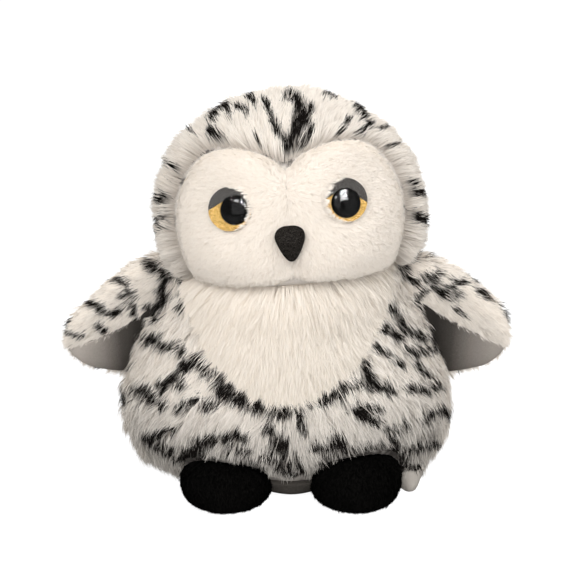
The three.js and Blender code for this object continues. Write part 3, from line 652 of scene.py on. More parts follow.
def grow_fur(name, pad, count, covers, comb, pile, dye_and_shade, seed, trim=None, joints=3, clear=None):
    """A panel's fur as tapered strands in tufts, each a short strip with its own spot on the map."""
    draw = np.random.default_rng(seed)
    roots, outs = roots_on(pad, count, covers, draw)
    count = len(roots)
    guides, tuft = tufts_of(roots, pile["tuft"], draw)

    flow = comb(roots)
    flow = unit(flow - (flow * outs).sum(1, keepdims=True) * outs)
    turn = draw.normal(0, pile["spread"], len(guides))[tuft] + draw.normal(0, 0.45 * pile["spread"], count)
    turn = turn[:, None]
    flow = flow * np.cos(turn) + np.cross(outs, flow) * np.sin(turn)
    length = pile["length"] * draw.normal(1, 0.1, len(guides))[tuft] * draw.uniform(0.72, 1.12, count)
    if trim is not None:
        length *= trim(roots)
    lift = pile["lift"] * draw.normal(1, 0.16, len(guides))[tuft] * draw.normal(1, 0.1, count)
    lines = strand_lines(roots, outs, flow, length, lift, pile["droop"], joints)
    runs = np.linspace(0, 1, joints + 1)[:, None, None]
    lines += pile["pull"] * runs**1.2 * (lines[:, guides[tuft]] - lines)
    lines += pile["stray"] * runs**1.5 * draw.normal(0, 1, (1, count, 3))
    lines[:, :, 2] = np.maximum(lines[:, :, 2], LEAST_HEIGHT)
    if clear is not None:
        lines = clear(lines)
    dark = dye_and_shade(0.7 * lines[-2] + 0.3 * lines[-1], outs, draw)
    places, ways = strand_strips(lines, outs, pile["thick"], draw)

    per = 2 * joints + 1
    strip = [(2 * k, 2 * k + 1, 2 * k + 3, 2 * k + 2) for k in range(joints - 1)]
    strip.append((per - 3, per - 2, per - 1))
    corners = np.concatenate(strip)
    starts = np.cumsum([0] + [len(face) for face in strip[:-1]])
    mesh = bpy.data.meshes.new(name)
    mesh.vertices.add(count * per)
    mesh.vertices.foreach_set("co", places.ravel())
    mesh.loops.add(count * len(corners))
    order = np.arange(count)[:, None]
    mesh.loops.foreach_set("vertex_index", (order * per + corners).ravel().astype(np.int32))
    mesh.polygons.add(count * joints)
    mesh.polygons.foreach_set("loop_start", (order * len(corners) + starts).ravel().astype(np.int32))
    mesh.update(calc_edges=True)
    mesh.shade_smooth()
    mesh.normals_split_custom_set_from_vertices(ways.reshape(-1, 3))

    # The map gives each strand a cell of its own, so that each keeps its colour
    cells = math.ceil(math.sqrt(count))
    spot = np.stack([np.arange(count) % cells, np.arange(count) // cells], axis=1)[:, None]
    level = np.append(np.repeat(np.arange(joints), 2), joints) / joints
    offset = np.append(np.tile([-0.3, 0.3], joints), 0)
    in_cell = np.stack([0.5 + offset, 0.14 + 0.72 * level], axis=1)
    mapped = ((spot + in_cell) / cells)[:, corners]
    mesh.uv_layers.new(name="OFBake").uv.foreach_set("vector", mapped.ravel().astype(np.float32))
    tint = np.ones((count, per, 4), np.float32)
    tint[:, :, 0] = dark[:, None]
    tint[:, :, 1] = draw.uniform(0, 1, count)[:, None]
    tint[:, :, 2] = level
    mesh.attributes.new("pile", "FLOAT_COLOR", "POINT").data.foreach_set("color", tint.ravel())
    fur = bpy.data.objects.new(name, mesh)
    fur.visible_shadow = False
    return fur


def fur_finish(name, root, tip, dark, vary=0.14):
    """Dyed pile: painted shade at the root, lighter along the strand, and further out black where it is printed
    and grey where shade is painted low on the belly and bib.
    """
    fur = Finish(name, Roughness=0.8, Specular_IOR_Level=0.0)
    # The first channel carries the print and, on the belly and bib, painted shade
    dyed_and_shaded, own, run = fur.channels("pile")
    # Painted shade: the root colour is darker, where the strands shade each other
    colour = fur.blend(root, tip, fur.ramp(run, [(0.0, 0.0), (0.7, 1.0)]))
    printed_and_shaded = dyed_and_shaded * fur.ramp(run, [(0.15, 0.1), (0.5, 1.0)])
    fur.set("Base Color", fur.scaled(fur.blend(colour, dark, printed_and_shaded), (1 - 0.6 * vary) + vary * own))
    return fur


def bib_margin(places):
    """How far inside the bib's edge places lie, across."""
    down = (NECK_HEIGHT - places[:, 2]) / BIB_DROP
    across, drop = np.array(BIB_EDGE_SHARES).T
    margin = np.interp(down, drop, across) * BIB_HALF_WIDTH - np.abs(places[:, 0])
    return np.where((places[:, 1] < 0) & (down < 1), margin, -1.0)


def in_bib(places):
    """Inside the bib's edge, which laps further over the body fur towards its lowest point."""
    down = (NECK_HEIGHT - places[:, 2]) / BIB_DROP
    return bib_margin(places) > BIB_LAP[0] + (BIB_LAP[1] - BIB_LAP[0]) * eased(down, 0.6, 1)


def fur_hem(places):
    """The height of the fur's lower edge: low at the sides, higher between the feet and over them."""
    x, y, z = places.T
    front = np.full(len(x), FRONT_HEM)
    for side, height in FOOT_HEMS.items():
        from_foot = (x - side * FOOT_SPACING / 2 - FOOT_SHIFT) / FOOT_HEM_SPREAD
        front += (height - FRONT_HEM) * np.exp(-from_foot**4)
    reach = eased(-y, 0.022, 0.04) * (1 - eased(np.abs(x - FOOT_SHIFT), 0.052, 0.062))
    beside_fold = np.exp(-(((x - FOLD_PLACE - FOLD_HEM_SHIFT) / FOLD_HEM_SPREAD) ** 4))
    fold = FOLD_HEM_RISE * beside_fold * eased(-y, 0.02, 0.026)
    return SIDE_HEM + (front - SIDE_HEM) * reach + fold


def body_panel(side, at_front):
    def covers(places):
        x, y, z = places.T
        half = (side * x > PARTING / 2) & ((y < SIDE_SEAM_BACK) == at_front)
        return half & ~in_bib(places) & (z > fur_hem(places)) & (z < NECK_HEIGHT + NECK_LAP + NECK_TILT * x)
    return covers


def body_trim(places):
    """Strands are clipped shorter towards the hem."""
    return 1 - HEM_CLIP + HEM_CLIP * eased(places[:, 2] - fur_hem(places), 0, HEM_CLIP_DEPTH)


def body_reach(z, inset):
    """The body's half width and half depth at a height, before its belly is tucked."""
    wide, deep, up = outline_rings(*BODY_CUT, inset, FINE_RINGS)
    return float(np.interp(z, up, wide)), float(np.interp(z, up, deep))


def belly_front(x, z):
    """The furred belly's front at a place across and up it."""
    wide, deep = body_reach(z, 0)
    return -float(deep * belly_tuck(z)) * math.sqrt(1 - (x / wide) ** 2)


def foot_place(side):
    """The middle of a foot, across and from front to back."""
    ahead = belly_front(FOOT_SPACING / 2, BASE_SEAM_HEIGHT) - FOOT_AHEAD
    return side * FOOT_SPACING / 2 + FOOT_SHIFT, ahead


def over_feet(lines):
    """Lays strands that would run through a foot over it."""
    for side, height in FOOT_HEIGHTS.items():
        x, y = foot_place(side)
        off = ((lines[..., 0] - x) / FOOT_HALF_WIDTH) ** 2 + ((lines[..., 1] - y) / FOOT_HALF_LENGTH) ** 2
        top = height * (0.36 + 0.64 * (1 - np.clip(off, 0, 1) ** 1.25) ** 0.4) + FOOT_CLEARANCE
        lines[..., 2] = np.where(off < 1, np.maximum(lines[..., 2], top), lines[..., 2])
    return lines


def body_comb(places):
    """Down, and outwards on the flanks."""
    x, y, z = places.T
    out = FLANK_COMB * np.tanh(x / FLANK_COMB_SPREAD) * (y < SIDE_SEAM_BACK + 0.02) * eased(z, 0.005, 0.06)
    return np.stack([out, 0.15 * np.tanh(y / 0.03), -np.ones(len(x))], axis=1)


body_print = mottle(BODY_PATCHES_PX + SHOULDER_PATCHES_PX, (44, 44, 84), 0.22)


def body_print_and_shade(places, outs, draw):
    """The printed patches, with painted shade: a grey darkening low on the belly, and dark strand ends at the
    hem where it meets the feet.
    """
    x, y, z = places.T
    # Painted shade: darker towards the bottom of the belly's front
    low = (1 - eased(z, 0.02, 0.068)) * eased(-y, 0.005, 0.04)
    from_foot = np.abs(np.abs(x - FOOT_SHIFT) - FOOT_SPACING / 2)
    # Painted shade at the hem, where the fur meets the feet
    at_hem = 1 - eased(z - fur_hem(places), 0.0, PAINTED_HEM_SHADE_DEPTH)
    over_foot = at_hem * (1 - eased(from_foot, 0.018, 0.027)) * (y < 0)
    painted_shade = np.maximum(PAINTED_LOW_SHADE * low, PAINTED_HEM_SHADE * over_foot)
    return np.maximum(body_print(places, outs, draw), painted_shade * draw.uniform(0.4, 1.6, len(outs)))


mottled_fur = fur_finish("mottled_fur", (0.55, 0.49, 0.43), (0.92, 0.865, 0.795), (0.01, 0.0085, 0.0075))
dye_cloth(body_pad, body_print_and_shade, seed=9)
for side, name in SIDES:
    for at_front, panel, strands in ((True, "body_fur", BODY_STRANDS), (False, "back_fur", BACK_STRANDS)):
        fur = grow_fur(
            f"{panel}_pile_{name}", body_pad, strands, body_panel(side, at_front), body_comb, BODY_PILE,
            body_print_and_shade, seed=11 + side + 4 * at_front, trim=body_trim, clear=over_feet if at_front else None,
        )
        in_place(fur, mottled_fur, "torso", "mottled_fur", f"{panel}_{name}")

# The bib: cream pile with no print, sewn into the chest under the face. Its strands are longer and
# fan down over the mottled fur round its edge.
BIB_STRANDS = 34000
BIB_PILE = {
    "length": 0.0125, "thick": 0.00042, "lift": 0.85, "tuft": 26, "spread": 0.14, "pull": 0.14, "stray": 0.0006,
    "droop": 0.25,
}
BIB_FAN_HEIGHT = 0.17
BIB_CHIN_FULLNESS = 0.35
# Painted shade: how much greyer the bib is made towards its bottom
BIB_PAINTED_SHADE = 0.18
BIB_NECK_GAP = 0.001


def bib_covers(places):
    """The bib's panel, up to the seam under the rolled head."""
    return in_bib(places) & (places[:, 2] < NECK_HEIGHT - BIB_NECK_GAP + NECK_TILT * places[:, 0])


def bib_trim(places):
    """Strands are clipped shorter at the edge and left longer under the chin."""
    shorter = 0.65 + 0.35 * eased(bib_margin(places), 0, 0.016)
    return shorter * (1 + BIB_CHIN_FULLNESS * eased(places[:, 2], 0.095, 0.116))


def bib_comb(places):
    """Down, fanning out from a place over the head."""
    x, y, z = places.T
    return np.stack([x, np.zeros(len(x)), z - BIB_FAN_HEIGHT], axis=1)


def bib_painted_shade(places, outs, draw):
    """Painted shade: a slight grey that grows downwards, lower on the bib where less light falls."""
    return BIB_PAINTED_SHADE * (1 - eased(places[:, 2], 0.06, 0.112))


# The cream fur's dark colour is mixed in only by the painted shade low on the bib
cream_fur = fur_finish("cream_fur", (0.86, 0.785, 0.695), (0.94, 0.875, 0.79), (0.4, 0.36, 0.3), vary=0.08)
bib = grow_fur(
    "bib_pile", body_pad, BIB_STRANDS, bib_covers, bib_comb, BIB_PILE, bib_painted_shade, seed=31, trim=bib_trim,
)
in_place(bib, cream_fur, "torso", "face_plush", "chest_bib")

# The head: a stuffed ball of backing cloth, sewn on rolled a little to one side. The crown's long
# fur runs back from round the face, over the top and down behind.
HEAD_HALF_WIDTH = 0.073
HEAD_HALF_DEPTH = 0.066
HEAD_HEIGHT = 0.091
HEAD_SHIFT = 0.0043
HEAD_ROLL = math.radians(-4.6)
HEAD_PILE_DEPTH = 0.006
FACE_FILLING_SINK = 0.0032
MASK_HALF_WIDTH = 0.0595
MASK_HEIGHT = 0.0685
MASK_MIDDLE_SHARE = 0.42
CROWN_STRANDS = 36500
CROWN_PILE = {
    "length": 0.013, "thick": 0.00042, "lift": 0.8, "tuft": 30, "spread": 0.17, "pull": 0.26, "stray": 0.0007,
    "droop": 0.1,
}
# The crown is combed away from a place before the face, and then down behind
CROWN_COMB_FROM = (0, -0.035, 0.034)
CROWN_COMB_REACH = 0.06
# Tufts of the crown that stand longer or shorter: middle, spread and change of length
CROWN_TRIMS = [((-0.052, 0.06), 0.022, 0.35), ((0.042, 0.076), 0.02, -0.25)]
CROWN_TRIM_RISE = 0.02
HEAD_OUTLINE_SHARES = [
    (0, -0.13), (0.5, -0.12), (0.82, -0.065), (0.95, 0.02), (0.993, 0.12), (1, 0.24), (0.98, 0.38),
    (0.92, 0.53), (0.82, 0.67), (0.685, 0.79), (0.5, 0.895), (0.27, 0.965), (0, 1),
]
MASK_EDGE_SHARES = [
    (0, 0.89), (0.2, 0.965), (0.46, 1), (0.7, 0.94), (0.88, 0.79), (0.98, 0.6), (1, 0.42), (0.955, 0.2),
    (0.87, 0),
]
# Black streaks on the crown, each as its width and its line, in the photograph's pixels
CROWN_PATCHES_PX = [
    (12, [(290, 94), (299, 99), (302, 112)]), (17, [(302, 112), (299, 124), (293, 137)]),
    (14, [(293, 137), (290, 150), (286, 161)]), (8, [(311, 106), (306, 118)]),
    (6, [(313, 125), (307, 137), (300, 147)]), (7, [(312, 152), (318, 153)]),
    (7, [(264, 100), (270, 112), (276, 124)]), (8, [(276, 124), (282, 135), (287, 143)]),
    (4, [(254, 132), (261, 143)]), (6, [(261, 143), (268, 154), (280, 162)]),
    (5, [(350, 116), (343, 129), (335, 144)]), (5, [(370, 122), (362, 132), (347, 144)]),
    (7, [(357, 104), (364, 111), (371, 124)]), (4, [(326, 91), (337, 96)]),
    (7, [(210, 116), (216, 107), (226, 104), (229, 112)]), (7, [(248, 93), (254, 101)]),
    (7, [(236, 105), (247, 110)]), (8, [(209, 129), (217, 135), (225, 142)]), (4, [(200, 156), (212, 150)]),
    (4, [(186, 126), (190, 129)]), (5, [(165, 162), (171, 165)]), (4, [(180, 160), (192, 161)]),
    (6, [(168, 175), (185, 181)]), (10, [(157, 198), (173, 195)]), (7, [(162, 215), (172, 221)]),
    (4, [(155, 219), (156, 226)]), (5, [(402, 176), (417, 182)]), (7, [(407, 187), (425, 193)]),
    (10, [(409, 210), (427, 220)]), (3, [(376, 146), (402, 143)]), (3, [(380, 128), (390, 126)]),
]
HEAD_CUT = (HEAD_OUTLINE_SHARES, HEAD_HALF_WIDTH, HEAD_HALF_DEPTH, HEAD_HEIGHT)

head_to_owl = Matrix.Translation((HEAD_SHIFT, 0, NECK_HEIGHT)) @ Matrix.Rotation(HEAD_ROLL, 4, "Y")


def in_frame(places, frame_matrix):
    """Places as a frame of its own gives them."""
    inward = np.array(frame_matrix.inverted(), float)
    return places @ inward[:3, :3].T + inward[:3, 3]


def in_head(places):
    """Places in the head's own frame, before it is rolled and set on the body."""
    return in_frame(places, head_to_owl)


def mask_margin(local):
    """How far inside the face's edge places lie, seen from the front."""
    edge = smooth_line(MASK_EDGE_SHARES, 80) * (MASK_HALF_WIDTH, MASK_HEIGHT)
    middle = MASK_MIDDLE_SHARE * MASK_HEIGHT
    edge_angle = np.arctan2(edge[:, 1] - middle, edge[:, 0])[::-1]
    edge_reach = np.hypot(edge[:, 1] - middle, edge[:, 0])[::-1]
    x, y, z = local.T
    angle = np.arctan2(z - middle, np.abs(x))
    low = edge_reach[0] * np.sin(edge_angle[0]) / np.minimum(np.sin(angle), -1e-3)
    reach = np.where(angle < edge_angle[0], low, np.interp(angle, edge_angle, edge_reach))
    return np.where(y < 0, reach - np.hypot(z - middle, x), -1.0)


def crown_panel(side):
    def covers(places):
        local = in_head(places)
        x, y, z = local.T
        chin = (y < 0) & (np.abs(x) < 0.86 * MASK_HALF_WIDTH) & (z < 0.02)
        return (side * x > PARTING / 2) & (mask_margin(local) < 0.001) & (z > 0.0004) & ~chin
    return covers


def crown_comb(places):
    """Away from the face, over the top and down behind."""
    x, y, z = in_head(places).T
    behind = eased(y, -0.02, 0.05)[:, None]
    away = np.stack([x, 0 * x - CROWN_COMB_FROM[1], z - CROWN_COMB_FROM[2]], axis=1) / CROWN_COMB_REACH
    down = np.stack([0.3 * x / CROWN_COMB_REACH, 0.2 + 0 * x, -1.2 + 0 * x], axis=1)
    return away * (1 - behind) + down * behind


def crown_trim(places):
    """Strands stand a little longer over the left brow than over the right."""
    x, y, z = in_head(places).T
    length = np.ones(len(x))
    for (across, up), spread, change in CROWN_TRIMS:
        length += change * np.exp(-(((x - across) / spread) ** 2) - ((z - up) / CROWN_TRIM_RISE) ** 2)
    return length


head_form = stuffed_form(*HEAD_CUT, HEAD_PILE_DEPTH)
head_form.normal_update()
sinks = FACE_FILLING_SINK * eased(mask_margin(np.array([vert.co for vert in head_form.verts])), 0, 0.006)
for vert, sink in zip(head_form.verts, sinks):
    vert.co -= float(sink) * vert.normal
head_form.transform(head_to_owl)
head_pad = piece_from(head_form, "head_pad", backing_cloth, "torso", "mottled_fur", "head_stuffing")
crown_dye = mottle(CROWN_PATCHES_PX, (70, 48, 42), 0.26, reach=0.3)
dye_cloth(head_pad, crown_dye, seed=39)
for side, name in SIDES:
    fur = grow_fur(
        f"crown_pile_{name}", head_pad, CROWN_STRANDS, crown_panel(side), crown_comb, CROWN_PILE, crown_dye,
        seed=41 + side, trim=crown_trim,
    )
    in_place(fur, mottled_fur, "torso", "mottled_fur", f"crown_fur_{name}")

# The face: two panels of short cream plush that meet in a seam under the notch. They are padded,
# rolled in at their edges, and drawn in round the eyes, the beak and the chin seam.
FACE_CLOTH_INSET = 0.0042
FACE_ROLL_DEPTH = 0.0036
FACE_ROLL_WIDTH = 0.008
CHIN_ROLL_SHARE = 0.5
FACE_THICKNESS = 0.0022
EYE_SPACING = 0.057
EYE_LEVEL = 0.042
EYE_DENT_DEPTH = 0.0012
EYE_DENT_START = 0.009
EYE_DENT_END = 0.022
NOTCH_GROOVE_DEPTH = 0.0026
NOTCH_GROOVE_WIDTH = 0.006
NOTCH_GROOVE_END = 0.043
CHIN_GROOVE_DEPTH = 0.003
CHIN_GROOVE_WIDTH = 0.0065
CHIN_GROOVE_TOP = 0.019
BEAK_DENT_DEPTH = 0.0018
FACE_RINGS = 30
# The eyes' sizes along and across their axes, which the plush beside them follows
EYE_RADIUS = 0.011
PUPIL_RADIUS = 0.007
PUPIL_SHIFTS = {-1: Vector((0.0024, -0.0005, 0)), 1: Vector((0, -0.0014, 0))}
EYE_TURN = math.radians(13)
EYE_LIFT = math.radians(17)
FLANGE_BACK = -0.0027
FLANGE_FRONT = -0.0012
IRIS_BACK = -0.0009
IRIS_FRONT = 0.0001
IRIS_RIM = 0.0002
LENS_BACK = 0.0004
LENS_RIM = 0.0003
LENS_HEIGHT = 0.0052
PUPIL_HEIGHT = 0.0034
STEM_RADIUS = 0.0025
STEM_END = -0.0187
PRESS_GAP = 0.0003
FACE_STRANDS = 37500
FACE_PILE = {
    "length": 0.0036, "thick": 0.00032, "lift": 0.85, "tuft": 12, "spread": 0.32, "pull": 0.12,
    "stray": 0.00025, "droop": 0.1,
}
EYE_FRINGE_START = 0.0115
EYE_FRINGE_END = 0.0145
EYE_FRINGE_SHARE = 0.5
NOSE_SIDE_GROWTH = 0.35
NOSE_LAP = {-1: 0.4, 1: 1.0}
LENS_CLEARANCE = 0.0002
FACE_SEAM = 0.00004
FACE_SEAT = 0.0025
# The cheeks and brows: place across and up, spread, and how full each is
FACE_SWELLS = [((0.033, 0.016), (0.022, 0.016), 0.003), ((0.027, 0.06), (0.02, 0.01), 0.0018)]
BEAK_DENT_PLACE = 0.026
BEAK_DENT_SPREAD = (0.012, 0.014)


def head_front(x, z, inset):
    """The head's front surface at places across and up it, and the way out there."""
    wide, deep, up = outline_rings(*HEAD_CUT, inset, FINE_RINGS)
    w, d = np.interp(z, up, wide), np.interp(z, up, deep)
    bulge = np.sqrt(np.clip(1 - (x / w) ** 2, 0.04, 1))
    slope = np.interp(z, up, np.gradient(wide, up))
    out = np.stack([x / w, -bulge * w / d, -slope], axis=-1)
    return np.stack([x, -d * bulge, z], axis=-1), unit(out)


def eye_middle(side):
    """Where an eye's axis meets the face, in the head's frame."""
    x, z = np.array([side * EYE_SPACING / 2]), np.array([EYE_LEVEL])
    return head_front(x, z, FACE_SEAT)[0][0]


def eye_frame(side):
    """An eye's own frame: its axis points out of the face, turned aside and up."""
    turn = EYE_TURN * side
    level = math.cos(EYE_LIFT)
    way = Vector((math.sin(turn) * level, -math.cos(turn) * level, math.sin(EYE_LIFT)))
    face_way = way.to_track_quat("Z", "Y").to_matrix().to_4x4()
    return head_to_owl @ Matrix.Translation(eye_middle(side)) @ face_way


def face_relief(flat):
    """How far the plush stands out from its plain surface."""
    x, z = flat[:, 0], flat[:, 2]
    rolled = (1 - eased(mask_margin(flat), -0.001, FACE_ROLL_WIDTH)) ** 1.5
    tucked = CHIN_ROLL_SHARE * (1 - eased(z, 0, 0.7 * FACE_ROLL_WIDTH)) ** 1.5
    relief = -FACE_ROLL_DEPTH * np.maximum(rolled, tucked)
    for side in (-1, 1):
        from_eye = np.hypot(x - side * EYE_SPACING / 2, z - EYE_LEVEL)
        relief -= EYE_DENT_DEPTH * (1 - eased(from_eye, EYE_DENT_START, EYE_DENT_END))
        for (across, up), (wide, high), fullness in FACE_SWELLS:
            off = np.hypot((x - side * across) / wide, (z - up) / high)
            relief += fullness * np.exp(-off**2)
    notch = eased(z, NOTCH_GROOVE_END, 0.89 * MASK_HEIGHT)
    relief -= NOTCH_GROOVE_DEPTH * notch * np.exp(-((x / NOTCH_GROOVE_WIDTH) ** 2))
    chin = 1 - eased(z, 0.6 * CHIN_GROOVE_TOP, CHIN_GROOVE_TOP)
    relief -= CHIN_GROOVE_DEPTH * chin * np.exp(-((x / CHIN_GROOVE_WIDTH) ** 2))
    from_beak = np.hypot(x / BEAK_DENT_SPREAD[0], (z - BEAK_DENT_PLACE) / BEAK_DENT_SPREAD[1])
    return relief - BEAK_DENT_DEPTH * np.exp(-from_beak**2)


def face_form(side):
    """One half of the face: its outline filled by rings drawn in to the middle, then laid on the head."""
    edge = smooth_line(MASK_EDGE_SHARES, 56) * (MASK_HALF_WIDTH, MASK_HEIGHT)
    corner, top = edge[-1], edge[0]
    bottom = [(corner[0] * (1 - k / 22), FACE_SEAM) for k in range(1, 23)]
    centre = [(0, FACE_SEAM + (top[1] - FACE_SEAM) * k / 26) for k in range(1, 26)]
    outline = [(max(x, FACE_SEAM), max(z, FACE_SEAM)) for x, z in [*edge, *bottom, *centre]]
    middle = Vector((side * 0.48 * MASK_HALF_WIDTH, 0, 0.46 * MASK_HEIGHT))
    form = bmesh.new()
    loop = [form.verts.new((side * x, 0, z)) for x, z in outline]
    rim = [form.edges.new(pair) for pair in zip(loop, loop[1:] + loop[:1])]
    for k in range(FACE_RINGS - 1):
        grown = bmesh.ops.extrude_edge_only(form, edges=rim)["geom"]
        rim = [g for g in grown if isinstance(g, bmesh.types.BMEdge)]
        drawn_in = (FACE_RINGS - k - 1) / (FACE_RINGS - k)
        for vert in (g for g in grown if isinstance(g, bmesh.types.BMVert)):
            vert.co = middle + (vert.co - middle) * drawn_in
    bmesh.ops.pointmerge(form, verts=list({v for e in rim for v in e.verts}), merge_co=middle)
    form.normal_update()
    bmesh.ops.recalc_face_normals(form, faces=form.faces)
    if sum(face.normal.y * face.calc_area() for face in form.faces) > 0:
        bmesh.ops.reverse_faces(form, faces=form.faces)
    form = in_order(form)
    flat = np.array([vert.co for vert in form.verts])
    laid, out = head_front(flat[:, 0], flat[:, 2], FACE_CLOTH_INSET)
    laid += out * face_relief(np.stack([flat[:, 0], laid[:, 1], flat[:, 2]], axis=1))[:, None]
    for vert, place in zip(form.verts, laid):
        vert.co = place
    form.transform(head_to_owl)
    return form


def to_eye(places):
    """The way from places to the nearer eye's middle, how far it is, and how near the rim on a scale to 1."""
    local = in_head(places)
    eyes = np.where(local[:, :1] < 0, eye_middle(-1), eye_middle(1))
    way = eyes - local
    far = np.linalg.norm(way, axis=1)
    return way, far, 1 - eased(far, EYE_FRINGE_START, EYE_FRINGE_END)


def nose_side(x, way, far, fuller=1.0):
    """How much a place beside an eye is on the beak's side of it, by how far the plush laps there."""
    return np.clip(fuller * np.sign(x) * way[:, 0] / far, 0, 1) * np.where(x < 0, NOSE_LAP[-1], NOSE_LAP[1])


def face_comb(places):
    """Outwards and down, and over the rims of the eyes on the beak's side."""
    x, y, z = in_head(places).T
    way, far, near = to_eye(places)
    near *= nose_side(x, way, far, fuller=1.6)
    plain = unit(np.stack([1.2 * x, 0 * x, z - 0.05], axis=1))
    return (1 - near)[:, None] * plain + (1.4 * near / far)[:, None] * way


def face_trim(places):
    """The nap is clipped round the eyes, and left long on the side of the beak."""
    way, far, near = to_eye(places)
    growth = NOSE_SIDE_GROWTH * nose_side(in_head(places)[:, 0], way, far) ** 2
    return 1 - near * (1 - EYE_FRINGE_SHARE - growth)


def clear_of_eyes(places):
    """Not under an eye's dome."""
    return to_eye(places)[1] > EYE_RADIUS


def over_lenses(lines):
    """Lays strands that would run through a lens over it."""
    lens_top = LENS_BACK + LENS_RIM
    for side in (-1, 1):
        place = eye_frame(side)
        local = in_frame(lines.reshape(-1, 3), place)
        round_share = np.clip(np.hypot(local[:, 0], local[:, 1]) / EYE_RADIUS, 0, 1)
        glass = lens_top + (LENS_HEIGHT - LENS_RIM) * np.sqrt(1 - round_share**2) + LENS_CLEARANCE
        inside = (round_share < 1) & (local[:, 2] > FLANGE_BACK) & (local[:, 2] < glass)
        local[:, 2] = np.where(inside, glass, local[:, 2])
        turned = np.array(place, float)
        lines = (local @ turned[:3, :3].T + turned[:3, 3]).reshape(lines.shape)
    return lines


def walled(piece, thickness):
    """Gives a cloth its thickness, inwards from its face."""
    wall = piece.modifiers.new("thickness", "SOLIDIFY")
    wall.thickness, wall.offset = thickness, -1


face_plush = Finish("face_plush", Roughness=0.95, Specular_IOR_Level=0.0)
plush = face_plush.speckle(2500, detail=3)
face_plush.set("Base Color", face_plush.blend((0.76, 0.69, 0.61), (0.9, 0.84, 0.77), plush))
face_plush.bump(plush, 0.0004)
face_nap = fur_finish("face_nap", (0.87, 0.795, 0.71), (0.95, 0.885, 0.805), (0.4, 0.36, 0.3), vary=0.06)
for side, name in SIDES:
    face = piece_from(face_form(side), f"face_cloth_{name}", face_plush, "torso", "face_plush", f"face_{name}")
    walled(face, FACE_THICKNESS)
    nap = grow_fur(
        f"face_nap_{name}", face, FACE_STRANDS, clear_of_eyes, face_comb, FACE_PILE, no_dye, seed=51 + side,
        trim=face_trim, joints=2, clear=over_lenses,
    )
    in_place(nap, face_nap, "torso", "face_plush")

# The eyes: domed safety eyes. A black stem and pupil carry a ring, gold glitter below and
# dark grey above, under a clear moulded lens. A washer locks each from behind.
ROUND_STEPS = 64
# The dark grey's edge over the pupil, how it is tilted, and how steeply it falls away to both sides
DARK_TOP_LEVEL = 0.0016
DARK_TOP_TILT = {-1: 0.0, 1: math.radians(-10)}
DARK_TOP_DROP = 0.58
MOULDED_CORNER = math.radians(40)
LENS_CORNER = math.radians(50)


def dome(radius, low, high, count):
    """The half outline of a dome, from its rim to its top."""
    angles = [math.pi / 2 * k / count for k in range(count)]
    side = [(radius * math.cos(angle), low + (high - low) * math.sin(angle)) for angle in angles]
    return side + [(0.0, high)]


black_plastic = Finish(
    "black_plastic", Base_Color=(0.002, 0.002, 0.002), Roughness=0.015, Specular_IOR_Level=0.08,
)
clear_plastic = Finish(
    "clear_plastic", Base_Color=(1.0, 1.0, 1.0), Roughness=0.01, IOR=1.12, Transmission_Weight=1.0,
)


def iris_finish(name, middle, up_way, side_way):
    """Gold glitter below and dark grey above a sharp edge, which falls away to both sides of the pupil."""
    iris = Finish(name, Roughness=0.5, Specular_IOR_Level=0.0)
    place = iris.node("ShaderNodeTexCoord", output=3)
    from_middle = iris.node("ShaderNodeVectorMath", {"operation": "SUBTRACT"}, {0: place, 1: middle})
    height, across = (
        iris.node("ShaderNodeVectorMath", {"operation": "DOT_PRODUCT"}, {0: from_middle, 1: way}, 1)
        for way in (up_way, side_way)
    )
    fallen = DARK_TOP_DROP * (across.maths("ABSOLUTE", across, 0.0) - PUPIL_RADIUS)
    dark_top = iris.ramp((height + fallen) * 400 + 0.5, [(0.49, 0.0), (0.51, 1.0)])
    flakes = iris.node("ShaderNodeTexVoronoi", values={"Vector": place, "Scale": 2600}, output=1)
    split = iris.node("ShaderNodeSeparateColor", values={0: flakes})
    gold = iris.blend((0.38, 0.2, 0.035), (0.92, 0.62, 0.21), iris.ramp(split, [(0.1, 0.0), (0.95, 1.0)]))
    grey = iris.blend((0.045, 0.041, 0.038), (0.12, 0.113, 0.108), split)
    iris.set("Base Color", iris.blend(gold, grey, dark_top))
    return iris


